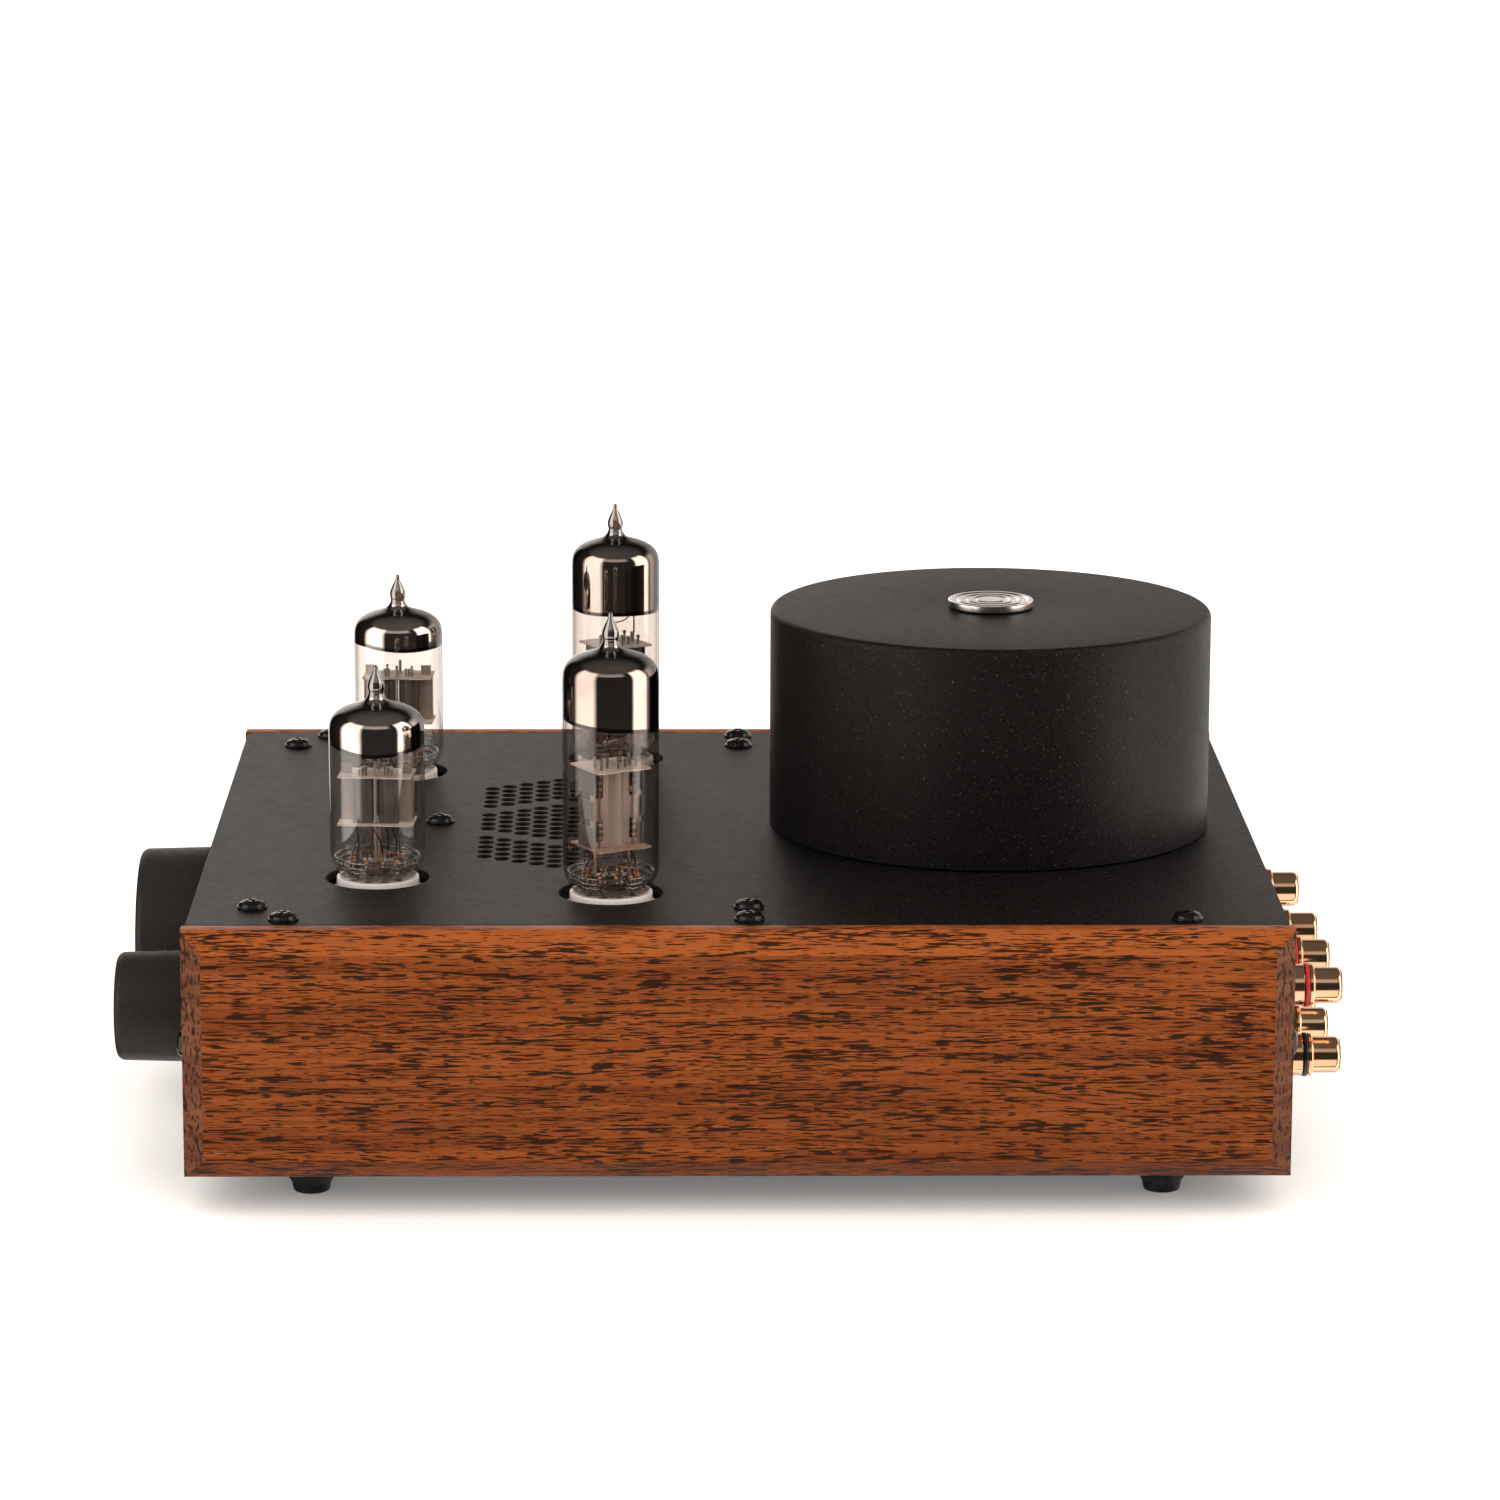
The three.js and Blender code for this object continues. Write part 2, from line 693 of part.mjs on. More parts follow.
// One wide anode with a round middle and a flange across each end. Four windows in its faces
// stand above and below its support rods' welds.
function powerCage() {
  const [low, high] = powerMicaHeights;
  const [halfWidth, halfDepth] = [powerAnodeWidth / 2, powerAnodeDepth / 2];
  const section = (inset, from, to) => join(
    block([inset - halfDepth, inset - halfWidth, from], [halfDepth - inset, halfWidth - inset, to]),
    rod(powerAnodeRib - inset, from, to, 12),
  );
  const flanges = [-1, 1].map((end) => block(
    [-powerFlangeDepth / 2, end * halfWidth, low],
    [powerFlangeDepth / 2, end * (halfWidth - anodeWall), high],
  ));
  const windowY = (powerAnodeRib + halfWidth - anodeWall) / 2;
  const windows = [-1, 1].flatMap((end) => [low + windowEdge, high - windowEdge - powerWindowHeight]
    .map((z) => block(
      [-powerFlangeDepth, end * windowY - powerWindowWidth / 2, z],
      [powerFlangeDepth, end * windowY + powerWindowWidth / 2, z + powerWindowHeight],
    )));
  const anode = cut(join(section(0, low, high), ...flanges), section(anodeWall, low - 1, high + 1), ...windows);
  const supports = [-1, 1].map((end) => cageRod(0, end * windowY, cageFloor, high + rodRise));
  const gridRods = [-1, 1].flatMap((end) => [-1, 1].map((row) => cageRod(
    row * gridRodPitch / 2,
    end * gridRodPitch / 2,
    high,
    high + gridRodRise,
  )));
  return join(anode, mica(low, powerMicaCorner), mica(high, powerMicaCorner), ...supports, ...gridRods);
}

// Two box anodes side by side, each with a flat wing on its outer side, open to each other
// through a window in their facing walls, and a support rod in front of and behind the space between.
function driverCage() {
  const [low, high] = driverMicaHeights;
  const halfDepth = driverAnodeDepth / 2;
  const box = (middle, inset, from, to) => block(
    [inset - halfDepth, middle - driverAnodeWidth / 2 + inset, from],
    [halfDepth - inset, middle + driverAnodeWidth / 2 - inset, to],
  );
  const anodes = [-1, 1].map((side) => {
    const middle = side * driverAnodeSpacing / 2;
    const outer = middle + side * driverAnodeWidth / 2;
    const wing = block(
      [-anodeWall / 2, outer - side * anodeWall / 2, low],
      [anodeWall / 2, outer + side * driverWing, high],
    );
    return cut(join(box(middle, 0, low, high), wing), box(middle, anodeWall, low - 1, high + 1));
  });
  const window = block(
    [-driverWindowDepth / 2, -driverAnodeSpacing / 2, low + windowEdge],
    [driverWindowDepth / 2, driverAnodeSpacing / 2, high - windowEdge],
  );
  const supports = [-1, 1].map((row) => cageRod(row * halfDepth, 0, cageFloor, high + rodRise));
  const gridRods = [-1, 1].map((side) => cageRod(0, side * driverAnodeSpacing / 2, high, high + gridRodRise));
  const micas = [low, high].map((z) => mica(z, driverMicaCorner));
  const opened = anodes.map((anode) => cut(anode, window));
  return join(micas[0], micas[1], ...opened, ...supports, ...gridRods);
}

const tubeKinds = {
  driver: { tip: driverTipHeight, cage: driverCage, turn: driverCageTurn },
  power: { tip: powerTipHeight, cage: powerCage, turn: powerCageTurn },
};

for (const { name, x, y, kind } of tubePlaces) {
  const place = new THREE.Group();
  place.position.set(x, y, plateTop);
  chassis.add(place);
  add(`socket_${name}`, tubeSocket(), finishes.ceramic, place);
  add(`glass_${name}`, glassEnvelope(tubeKinds[kind].tip), finishes.glass, place);
  add(`pin_base_${name}`, pinBase(), finishes.glassButton, place);
  const cage = tubeKinds[kind].cage().rotateZ(THREE.MathUtils.degToRad(tubeKinds[kind].turn));
  add(`electrodes_${name}`, cage, finishes.electrode, place);
}

// ---------------------------------------------------------------------------
// Mains transformer, held down by one bolt that also carries the cover and its badge
// ---------------------------------------------------------------------------

const transformer = new THREE.Group();
transformer.position.set(0, coverY, 0);
chassis.add(transformer);

const toroidFloor = plateTop + gap;
const clampFloor = toroidFloor + toroidHeight + gap;
const boltTop = coverTop + badgeThickness * 0.4;

add('transformer_cover', turned(outline([
  [coverRadius - coverWall, plateTop + gap],
  [coverRadius, plateTop + gap],
  [coverRadius, coverTop, coverEdgeRadius],
  [boltRadius + gap, coverTop],
  [boltRadius + gap, coverTop - coverWall],
  [coverRadius - coverWall, coverTop - coverWall],
  [coverRadius - coverWall, plateTop + gap],
], 1), 40), finishes.powderBlack, transformer);

const winding = outline([
  [toroidHoleRadius, toroidFloor, toroidEdgeRadius * 0.5],
  [toroidRadius, toroidFloor, toroidEdgeRadius],
  [toroidRadius, toroidFloor + toroidHeight, toroidEdgeRadius],
  [toroidHoleRadius, toroidFloor + toroidHeight, toroidEdgeRadius * 0.5],
], 1);
add('toroidal_transformer', turned([...winding, winding[0]], 20), finishes.windingTape, transformer);

add('transformer_clamp', turned([
  [boltRadius + gap, clampFloor],
  [clampRadius, clampFloor],
  [clampRadius, clampFloor + clampThickness + clampRim],
  [clampRadius - clampThickness, clampFloor + clampThickness + clampRim],
  [clampRadius - clampThickness, clampFloor + clampThickness],
  [boltRadius + gap, clampFloor + clampThickness],
  [boltRadius + gap, clampFloor],
], 16), finishes.zinc, transformer);

const boltHead = rod(boltHeadRadius, plateUnderside - gap - boltHeadHeight, plateUnderside - gap, 6);
const boltShank = rod(boltRadius, plateUnderside - gap - 1, boltTop, 12);
add('transformer_bolt', join(boltHead, boltShank), finishes.zinc, transformer);

// The badge is a round cap nut on the bolt's end.
add('cover_badge', turned(outline([
  [boltRadius + gap, coverTop + gap],
  [badgeRadius, coverTop + gap],
  [badgeRadius, coverTop + badgeThickness, 0.5],
  [0, coverTop + badgeThickness],
  [0, boltTop + gap],
  [boltRadius + gap, boltTop + gap],
  [boltRadius + gap, coverTop + gap],
], 1), 20), finishes.nickel, transformer);

// ---------------------------------------------------------------------------
// Front controls
// ---------------------------------------------------------------------------

function knob(radius, segments) {
  const boreRadius = shaftRadius + gap;
  const boreEnd = knobBack + shaftGrip + 2 * gap;
  const recessRadius = nutRadius + 1;
  const recessFloor = nutThickness + gap + 1;
  const body = turned(outline([
    [0, boreEnd],
    [boreRadius, boreEnd],
    [boreRadius, recessFloor],
    [recessRadius, recessFloor],
    [recessRadius, knobBack],
    [radius, knobBack],
    [radius - knobTaper, knobReach, knobEdgeRadius],
    [0, knobReach],
  ], 2), segments);
  const pointerTop = radius - knobEdgeRadius - knobTaper - 0.6;
  const pointer = block(
    [-pointerWidth / 2, pointerTop - pointerLength, knobReach - pointerDepth],
    [pointerWidth / 2, pointerTop, knobReach + 1],
  );
  return cut(body, pointer);
}

function controlShaft(depth) {
  const end = knobBack + shaftGrip;
  const shaft = rod(shaftRadius, gap - depth, end, 16);
  const flat = block([-shaftRadius, shaftRadius * 0.55, end - 8], [shaftRadius, shaftRadius + 1, end + 1]);
  return cut(shaft, flat);
}

// A control's housing behind the panel, with its threaded bushing and nut through the panel.
function controlHousing(bodyOutline, depth) {
  const back = -panelThickness - gap - depth;
  const body = prism(bodyOutline, back, -panelThickness - gap);
  const bushing = rod(bushingRadius, -panelThickness - gap - 1, nutThickness + gap, 16);
  const nut = rod(nutRadius, gap, nutThickness, 6);
  const bore = rod(shaftRadius + gap, back + 2, knobReach, 16);
  return cut(join(body, bushing, nut), bore);
}

const volumeFrame = frontFrame(0);
add('volume_knob', knob(volumeKnobRadius, 28), finishes.powderBlack, volumeFrame);
add('volume_shaft', controlShaft(volumeBodyDepth), finishes.zinc, volumeFrame);
add('volume_potentiometer', controlHousing(
  outline(rectangle(volumeBodySize, volumeBodySize, 2), 1),
  volumeBodyDepth,
), finishes.zinc, volumeFrame);

const selectorFrame = frontFrame(selectorFromCentre);
add('selector_knob', knob(selectorKnobRadius, 20), finishes.powderBlack, selectorFrame);
add('selector_shaft', controlShaft(selectorBodyDepth), finishes.zinc, selectorFrame);
add('selector_switch', controlHousing(
  polygon(0, 0, selectorBodyRadius, 16),
  selectorBodyDepth,
), finishes.zinc, selectorFrame);

function headphoneJack() {
  const back = -panelThickness - gap;
  const body = prism(outline(rectangle(jackBodyWidth, jackBodyHeight)), back - jackBodyDepth, back);
  const bushing = turned(outline([
    [0, back - 1],
    [jackBushingRadius, back - 1],
    [jackBushingRadius, jackReach, 1],
    [0, jackReach],
  ], 1), 20);
  const nut = rod(jackNutRadius, gap, nutThickness, 12);
  const bore = rod(jackBoreRadius, jackReach - jackBoreDepth, jackReach + 1, 16);
  return cut(join(body, bushing, nut), bore);
}

function powerLamp() {
  return turned(outline([
    [0, -ledDepth],
    [ledRadius, -ledDepth],
    [ledRadius, gap],
    [ledRadius + ledRim, gap],
    [ledRadius + ledRim, ledRim + gap],
    [ledRadius, ledRim + gap],
    [ledRadius, ledRise, ledRadius * 0.6],
    [0, ledRise],
  ], 1), 12);
}

add('headphone_jack', headphoneJack(), finishes.plastic, frontFrame(jackFromCentre));
add('power_lamp', powerLamp(), finishes.lens, frontFrame(-ledFromCentre));

// ---------------------------------------------------------------------------
// Rear panel, phono sockets and mains inlet
// ---------------------------------------------------------------------------

const inputXs = Array.from({ length: inputCount }, (_, i) => firstInputX - i * inputPitch);
const phonoColumns = [
  ...inputXs.map((x, i) => ({ name: `input_${i + 1}`, x })),
  { name: 'output', x: outputX },
];
const phonoRows = { upper: phonoRowPitch / 2, lower: -phonoRowPitch / 2 };

function phonoSocket() {
  return turned(outline([
    [0, -phonoShankLength],
    [phonoShankRadius, -phonoShankLength],
    [phonoShankRadius, gap],
    [phonoShoulderRadius, gap],
    [phonoShoulderRadius, phonoShoulderReach],
    [phonoBarrelRadius, phonoShoulderReach],
    [phonoBarrelRadius, phonoReach, phonoBarrelEdge],
    [phonoHoleRadius, phonoReach],
    [phonoHoleRadius, phonoReach - phonoHoleDepth],
    [0, phonoReach - phonoHoleDepth],
  ], 1), 10);
}

for (const { name, x } of phonoColumns) {
  for (const [row, offset] of Object.entries(phonoRows)) {
    add(`phono_${name}_${row}`, phonoSocket(), finishes.gold, rearFrame(x, controlHeight + offset));
  }
}

// The module's three openings, side by side and centred on its flange.
const drawerCavity = drawerWidth + 2 * gap;
const rockerCavity = rockerWidth + 2 * gap;
const openingsWidth = wellWidth + drawerCavity + rockerCavity + 2 * inletWall;
const wellX = openingsWidth / 2 - wellWidth / 2;
const drawerX = wellX - wellWidth / 2 - inletWall - drawerCavity / 2;
const rockerX = drawerX - drawerCavity / 2 - inletWall - rockerCavity / 2;
const rockerRecess = rockerPivotDepth + rockerSwingDepth;
const inletBodyWidth = openingsWidth + 2 * inletWall;
const inletBodyHeight = wellHeight + 2 * inletEndWall;
const inletFlangeWidth = inletBodyWidth + 2 * inletFlangeMargin;
const inletFlangeHeight = inletBodyHeight + 2 * inletFlangeMargin;

const rearHoles = phonoColumns.flatMap(({ x }) => Object.values(phonoRows)
  .map((offset) => polygon(-x, offset, phonoShankRadius + gap, 10)));
const inletHole = outline(rectangle(
  inletBodyWidth + 2 * gap,
  inletBodyHeight + 2 * gap,
  0,
  { x: -inletX, y: 0 },
));
add('rear_panel', panel([...rearHoles, inletHole]), finishes.powderBlack, rearFrame(0, controlHeight));

function mainsInlet() {
  const face = inletFlangeThickness;
  const flange = prism(outline(rectangle(inletFlangeWidth, inletFlangeHeight, 2), 2), gap, face);
  const body = prism(outline(rectangle(inletBodyWidth, inletBodyHeight)), -inletBodyDepth, 1);
  const [w, h] = [wellWidth / 2, wellHeight / 2];
  const wellOutline = [
    [wellX - w, -h],
    [wellX + w - wellChamfer, -h],
    [wellX + w, -h + wellChamfer],
    [wellX + w, h - wellChamfer],
    [wellX + w - wellChamfer, h],
    [wellX - w, h],
  ];
  const well = prism(outline(wellOutline), face - wellDepth, face + 1);
  const drawer = block(
    [drawerX - drawerCavity / 2, -drawerHeight / 2 - gap, face - drawerDepth - gap],
    [drawerX + drawerCavity / 2, drawerHeight / 2 + gap, face + 1],
  );
  const rocker = block(
    [rockerX - rockerCavity / 2, -rockerHeight / 2 - 2 * gap, face - rockerRecess],
    [rockerX + rockerCavity / 2, rockerHeight / 2 + 2 * gap, face + 1],
  );
  const blades = [-1, 0, 1].map((place) => {
    const x = wellX + (place === 0 ? bladeOffset : -bladeOffset);
    const y = place * bladeSpread;
    return block(
      [x - bladeWidth / 2, y - bladeThickness / 2, face - wellDepth - 1],
      [x + bladeWidth / 2, y + bladeThickness / 2, face - wellDepth + bladeLength],
    );
  });
  return join(cut(join(flange, body), well, drawer, rocker), ...blades);
}

// The fuse drawer slides straight out by the lip on its front.
function fuseDrawer() {
  const face = inletFlangeThickness;
  const body = block(
    [drawerX - drawerWidth / 2, -drawerHeight / 2, face - drawerDepth],
    [drawerX + drawerWidth / 2, drawerHeight / 2, face],
  );
  const lip = block(
    [drawerX - drawerWidth / 2, drawerHeight / 2 - 4, face - 1],
    [drawerX + drawerWidth / 2, drawerHeight / 2, face + drawerLipThickness],
  );
  return join(body, lip);
}

// The rocker's two faces meet at a waist over its pivot. It lies with its lower half pressed in.
function powerRocker() {
  const half = rockerHeight / 2;
  const profile = new THREE.Shape(outline([
    [-half, rockerArch],
    [-half * 0.75, -rockerArch - 2],
    [half * 0.75, -rockerArch - 2],
    [half, rockerArch],
    [0, rockerArch * 0.25],
  ]));
  const body = new THREE.ExtrudeGeometry(profile, { depth: rockerWidth, bevelEnabled: false });
  return body
    .translate(0, 0, -rockerWidth / 2)
    .rotateX(Math.PI / 2)
    .rotateZ(Math.PI / 2)
    .rotateX(THREE.MathUtils.degToRad(rockerTilt))
    .translate(rockerX, 0, inletFlangeThickness - rockerPivotDepth);
}

const inletFrame = rearFrame(inletX, controlHeight);
add('mains_inlet', mainsInlet(), finishes.plastic, inletFrame);
add('fuse_drawer', fuseDrawer(), finishes.plastic, inletFrame);
add('power_rocker', powerRocker(), finishes.plastic, inletFrame);

export default object;
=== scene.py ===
"""Looks of the desktop tube amplifier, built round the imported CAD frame.

Lengths are in millimetres in the shapes' own frames and in metres everywhere else. The chassis
faces -Y with its knobs and +Y with its phono sockets, and the camera looks along -X at the
right-hand oak panel.
"""

import json
import math

import bmesh
import bpy
from mathutils import Matrix, Vector


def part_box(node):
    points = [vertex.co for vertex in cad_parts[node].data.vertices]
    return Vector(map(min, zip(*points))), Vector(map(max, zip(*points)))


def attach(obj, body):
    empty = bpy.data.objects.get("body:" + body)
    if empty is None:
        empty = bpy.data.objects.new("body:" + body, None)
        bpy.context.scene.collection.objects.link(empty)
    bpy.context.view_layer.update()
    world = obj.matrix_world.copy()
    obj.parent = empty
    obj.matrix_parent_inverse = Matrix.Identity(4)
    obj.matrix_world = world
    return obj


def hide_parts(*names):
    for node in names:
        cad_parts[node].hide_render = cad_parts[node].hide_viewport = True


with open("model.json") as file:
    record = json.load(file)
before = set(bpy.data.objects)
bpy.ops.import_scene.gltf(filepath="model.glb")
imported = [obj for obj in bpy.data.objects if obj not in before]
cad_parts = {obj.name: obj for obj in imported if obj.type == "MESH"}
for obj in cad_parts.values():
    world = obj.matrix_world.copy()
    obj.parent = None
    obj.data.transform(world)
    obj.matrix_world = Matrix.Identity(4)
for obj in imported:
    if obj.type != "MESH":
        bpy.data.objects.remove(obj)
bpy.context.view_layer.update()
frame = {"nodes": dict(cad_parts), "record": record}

MM = 0.001
RECORD = frame["record"]
BODY_OF = {node: body for body, nodes in RECORD["behaviour"]["bodies"].items() for node in nodes}
SLOT_OF = {part["node"]: part["material_slot"] for part in RECORD["subparts"]}


# ---- Places read from the frame ----

def centre(node):
    low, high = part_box(node)
    return (low + high) / 2


def round_size(node):
    """Radius and height, in millimetres, of a node that is round about an upright axis."""
    low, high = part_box(node)
    return (high.x - low.x) / MM / 2, (high.z - low.z) / MM


OAK_LOW, OAK_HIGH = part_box("right_side_panel")
PLATE_LOW, PLATE_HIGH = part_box("top_plate")
FRONT_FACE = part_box("front_panel")[0].y
REAR_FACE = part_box("rear_panel")[1].y
PLATE_TOP = PLATE_HIGH.z
CHASSIS_MIDDLE = Vector((0, (OAK_LOW.y + OAK_HIGH.y) / 2, OAK_LOW.z))

UPWARD = Matrix.Identity(3)
FORWARD = Matrix(((1, 0, 0), (0, 0, -1), (0, 1, 0)))
REARWARD = Matrix(((-1, 0, 0), (0, 0, 1), (0, 1, 0)))


def place(x, y, z, facing=UPWARD, turn=0):
    """Matrix from millimetres about a point to metres, with local Z along the way it faces."""
    turned = facing.to_4x4() @ Matrix.Rotation(math.radians(turn), 4, "Z")
    return Matrix.Translation((x, y, z)) @ turned @ Matrix.Scale(MM, 4)


def under(node):
    """The place under a node's middle, at its lowest point."""
    spot = centre(node)
    return place(spot.x, spot.y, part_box(node)[0].z)


def on_plate(node, turn=0):
    """The place on the top plate where a node stands."""
    spot = centre(node)
    return place(spot.x, spot.y, PLATE_TOP, UPWARD, turn)


def on_panel(node, face=FRONT_FACE, way=FORWARD):
    """The place on the front or rear panel where a node is fitted."""
    spot = centre(node)
    return place(spot.x, face, spot.z, way)


# ---- Camera, light and floor ----

CAMERA_LENS = 138.4
CAMERA_FROM_CHASSIS = Vector((1.3257, -0.0170, 0.3648))
CAMERA_YAW, CAMERA_PITCH, CAMERA_ROLL = -0.0158, 0.2164, -0.0032     # radians


def make_camera():
    """Looks along -X and a little down, from beside the right-hand oak panel."""
    data = bpy.data.cameras.new("camera")
    data.sensor_width = 36
    data.lens = CAMERA_LENS
    data.clip_start, data.clip_end = 0.05, 20
    camera = bpy.data.objects.new("camera", data)
    bpy.context.collection.objects.link(camera)
    camera.location = CHASSIS_MIDDLE + CAMERA_FROM_CHASSIS
    level = Vector((-math.cos(CAMERA_YAW), -math.sin(CAMERA_YAW), 0))
    across = Vector((level.y, -level.x, 0))
    forward = level * math.cos(CAMERA_PITCH) - Vector((0, 0, math.sin(CAMERA_PITCH)))
    upward = across.cross(forward)
    lean, tilt = math.cos(CAMERA_ROLL), math.sin(CAMERA_ROLL)
    across, upward = across * lean - upward * tilt, upward * lean + across * tilt
    camera.rotation_mode = "QUATERNION"
    camera.rotation_quaternion = Matrix((across, upward, -forward)).transposed().to_quaternion()
    bpy.context.scene.camera = camera


class Nodes:
    """A node tree under construction, with one short call for each kind of step."""

    def __init__(self, tree):
        self.tree = tree

    def add(self, kind, **values):
        node = self.tree.nodes.new(kind)
        for name, value in values.items():
            if name in node.inputs:
                self.give(node.inputs[name], value)
            else:
                setattr(node, name, value)
        return node

    def give(self, socket, value):
        if isinstance(value, bpy.types.NodeSocket):
            self.tree.links.new(value, socket)
        else:
            socket.default_value = value

    def math(self, operation, *values, clamp=False):
        node = self.add("ShaderNodeMath", operation=operation, use_clamp=clamp)
        for socket, value in zip(node.inputs, values):
            self.give(socket, value)
        return node.outputs[0]

    def rise(self, value, start, end):
        """0 below start and 1 above end, with a smooth step between."""
        node = self.add("ShaderNodeMapRange", interpolation_type="SMOOTHSTEP")
        self.give(node.inputs["Value"], value)
        node.inputs["From Min"].default_value = start
        node.inputs["From Max"].default_value = end
        return node.outputs["Result"]

    def less(self, value):
        """What is left of 1 when the value is taken away."""
        return self.math("SUBTRACT", 1.0, value)

    def blend(self, factor, first, second):
        node = self.add("ShaderNodeMix", data_type="RGBA", clamp_factor=True)
        for index, value in ((0, factor), (6, first), (7, second)):
            self.give(node.inputs[index], value)
        return node.outputs[2]

    def finish(self, output, share, first, second):
        """Mixes two shaders by a share of the second, and makes that the result."""
        mix = self.add("ShaderNodeMixShader")
        for socket, value in zip(mix.inputs, (share, first.outputs[0], second.outputs[0])):
            self.give(socket, value)
        self.give(self.add(output).inputs["Surface"], mix.outputs[0])

    def grain(self, scale, detail=2.0, roughness=0.5, distortion=0.0, wander=None):
        """Noise over the object's own metres, with this many features a metre along each axis."""
        where = wander or self.add("ShaderNodeTexCoord").outputs["Object"]
        mapping = self.add("ShaderNodeMapping", Vector=where, Scale=scale)
        node = self.add("ShaderNodeTexNoise", Vector=mapping.outputs[0], Scale=1.0, Detail=detail,
                        Roughness=roughness, Distortion=distortion)
        return node.outputs[0]


def grey(value):
    return (value, value, value, 1)


WARM = (1.0, 0.925, 0.865, 1)
DOME_POWER = 1.65

# What shiny surfaces see: azimuths from +X toward +Y in degrees, softness in degrees, power
SOFTBOXES = ((-92, -38, 7, 2.3), (57, 98, 5, 2.9))
GLOWS_BEHIND = ((106, 158, 7, 1.3), (158, 205, 6, 0.76), (-205, -152, 6, 1.6))
FRONT_GLOOM = 0.035
FRONT_HALF_ANGLES = (math.radians(28), math.radians(44))
HIGH_STRIP, FLOOR_GLOW, OVERHEAD_GLOW = 0.55, 1.3, 0.12

# Where each begins and is complete, as the height of a ray of length 1
BEHIND_FADES, STRIP_RISES, OVERHEAD_RISES = (0.34, 0.62), (0.42, 0.52), (0.66, 0.80)
FLOOR_RISES = (0.28, 0.42)          # below the horizon


def make_world():
    """Even light for matt surfaces. Shiny ones see softboxes to the sides and behind, and a bright floor."""
    world = bpy.data.worlds.new("studio")
    bpy.context.scene.world = world
    world.use_nodes = True
    nodes = Nodes(world.node_tree)
    world.node_tree.nodes.clear()
    ray = nodes.add("ShaderNodeTexCoord").outputs["Generated"]
    parts = nodes.add("ShaderNodeSeparateXYZ", Vector=ray)
    height = parts.outputs["Z"]
    azimuth = nodes.math("ARCTAN2", parts.outputs["Y"], parts.outputs["X"])

    def add_sectors(glow, sectors):
        for start, end, soft, power in sectors:
            opened = nodes.rise(azimuth, math.radians(start - soft), math.radians(start + soft))
            closed = nodes.rise(azimuth, math.radians(end - soft), math.radians(end + soft))
            glow = nodes.math("MULTIPLY_ADD", nodes.math("MULTIPLY", opened, nodes.less(closed)), power, glow)
        return glow

    glow = add_sectors(0.0, GLOWS_BEHIND)
    glow = nodes.math("MULTIPLY", glow, nodes.less(nodes.rise(height, *BEHIND_FADES)))
    glow = nodes.math("ADD", add_sectors(glow, SOFTBOXES), FRONT_GLOOM)
    front = nodes.less(nodes.rise(nodes.math("ABSOLUTE", azimuth), *FRONT_HALF_ANGLES))
    strip = nodes.math("MULTIPLY", nodes.rise(height, *STRIP_RISES), HIGH_STRIP)
    depth = nodes.math("MULTIPLY", height, -1.0)
    below = nodes.math("MULTIPLY", nodes.rise(depth, *FLOOR_RISES), FLOOR_GLOW)
    glow = nodes.math("MULTIPLY_ADD", front, nodes.math("ADD", strip, below), glow)
    overhead = nodes.rise(height, *OVERHEAD_RISES)
    mirrored = nodes.math("ADD", nodes.math("MULTIPLY", glow, nodes.less(overhead)),
                          nodes.math("MULTIPLY", overhead, OVERHEAD_GLOW))
    path = nodes.add("ShaderNodeLightPath")
    even = path.outputs["Is Diffuse Ray"]
    strength = nodes.math("ADD", nodes.math("MULTIPLY", even, DOME_POWER),
                          nodes.math("MULTIPLY", nodes.less(even), mirrored))
    studio = nodes.add("ShaderNodeBackground", Color=WARM, Strength=strength)
    paper = nodes.add("ShaderNodeBackground", Color=grey(1.0), Strength=1.0)
    seen = nodes.math("MAXIMUM", path.outputs["Is Camera Ray"], path.outputs["Is Transmission Ray"])
    nodes.finish("ShaderNodeOutputWorld", seen, studio, paper)


FLOOR_RADIUS = 5


def make_floor():
    mesh = bpy.data.meshes.new("floor")
    shape = bmesh.new()
    bmesh.ops.create_circle(shape, cap_ends=True, segments=96, radius=FLOOR_RADIUS)
    shape.to_mesh(mesh)
    shape.free()
    floor = bpy.data.objects.new("floor", mesh)
    bpy.context.collection.objects.link(floor)
    material, nodes, shader = new_material("pale_floor", Roughness=0.9, Specular_IOR_Level=0.1,
                                           Emission_Color=grey(1.0), Emission_Strength=0.13)
    tone = nodes.blend(nodes.grain((3, 3, 3)), grey(0.93), grey(0.95))
    nodes.give(shader.inputs["Base Color"], tone)
    mesh.materials.append(material)
    floor.visible_glossy = False


# ---- Materials ----

def new_material(name, **values):
    """A material with its Principled shader's plain sockets set, and its nodes."""
    material = bpy.data.materials.new(name)
    material.use_nodes = True
    nodes = Nodes(material.node_tree)
    shader = material.node_tree.nodes["Principled BSDF"]
    for key, value in values.items():
        shader.inputs[key.replace("_", " ")].default_value = value
    return material, nodes, shader


def add_bump(nodes, shader, height, distance):
    bump = nodes.add("ShaderNodeBump", Height=height, Distance=distance * MM, Strength=1.0)
    nodes.give(shader.inputs["Normal"], bump.outputs[0])


def vary_roughness(nodes, shader, low, high, scale=400):
    """Roughness that wanders between two values, with this many patches a metre."""
    tone = nodes.grain((scale, scale, scale), 3)
    node = nodes.add("ShaderNodeMapRange", Value=tone)
    for socket, value in (("From Min", 0.3), ("From Max", 0.7), ("To Min", low), ("To Max", high)):
        node.inputs[socket].default_value = value
    nodes.give(shader.inputs["Roughness"], node.outputs["Result"])


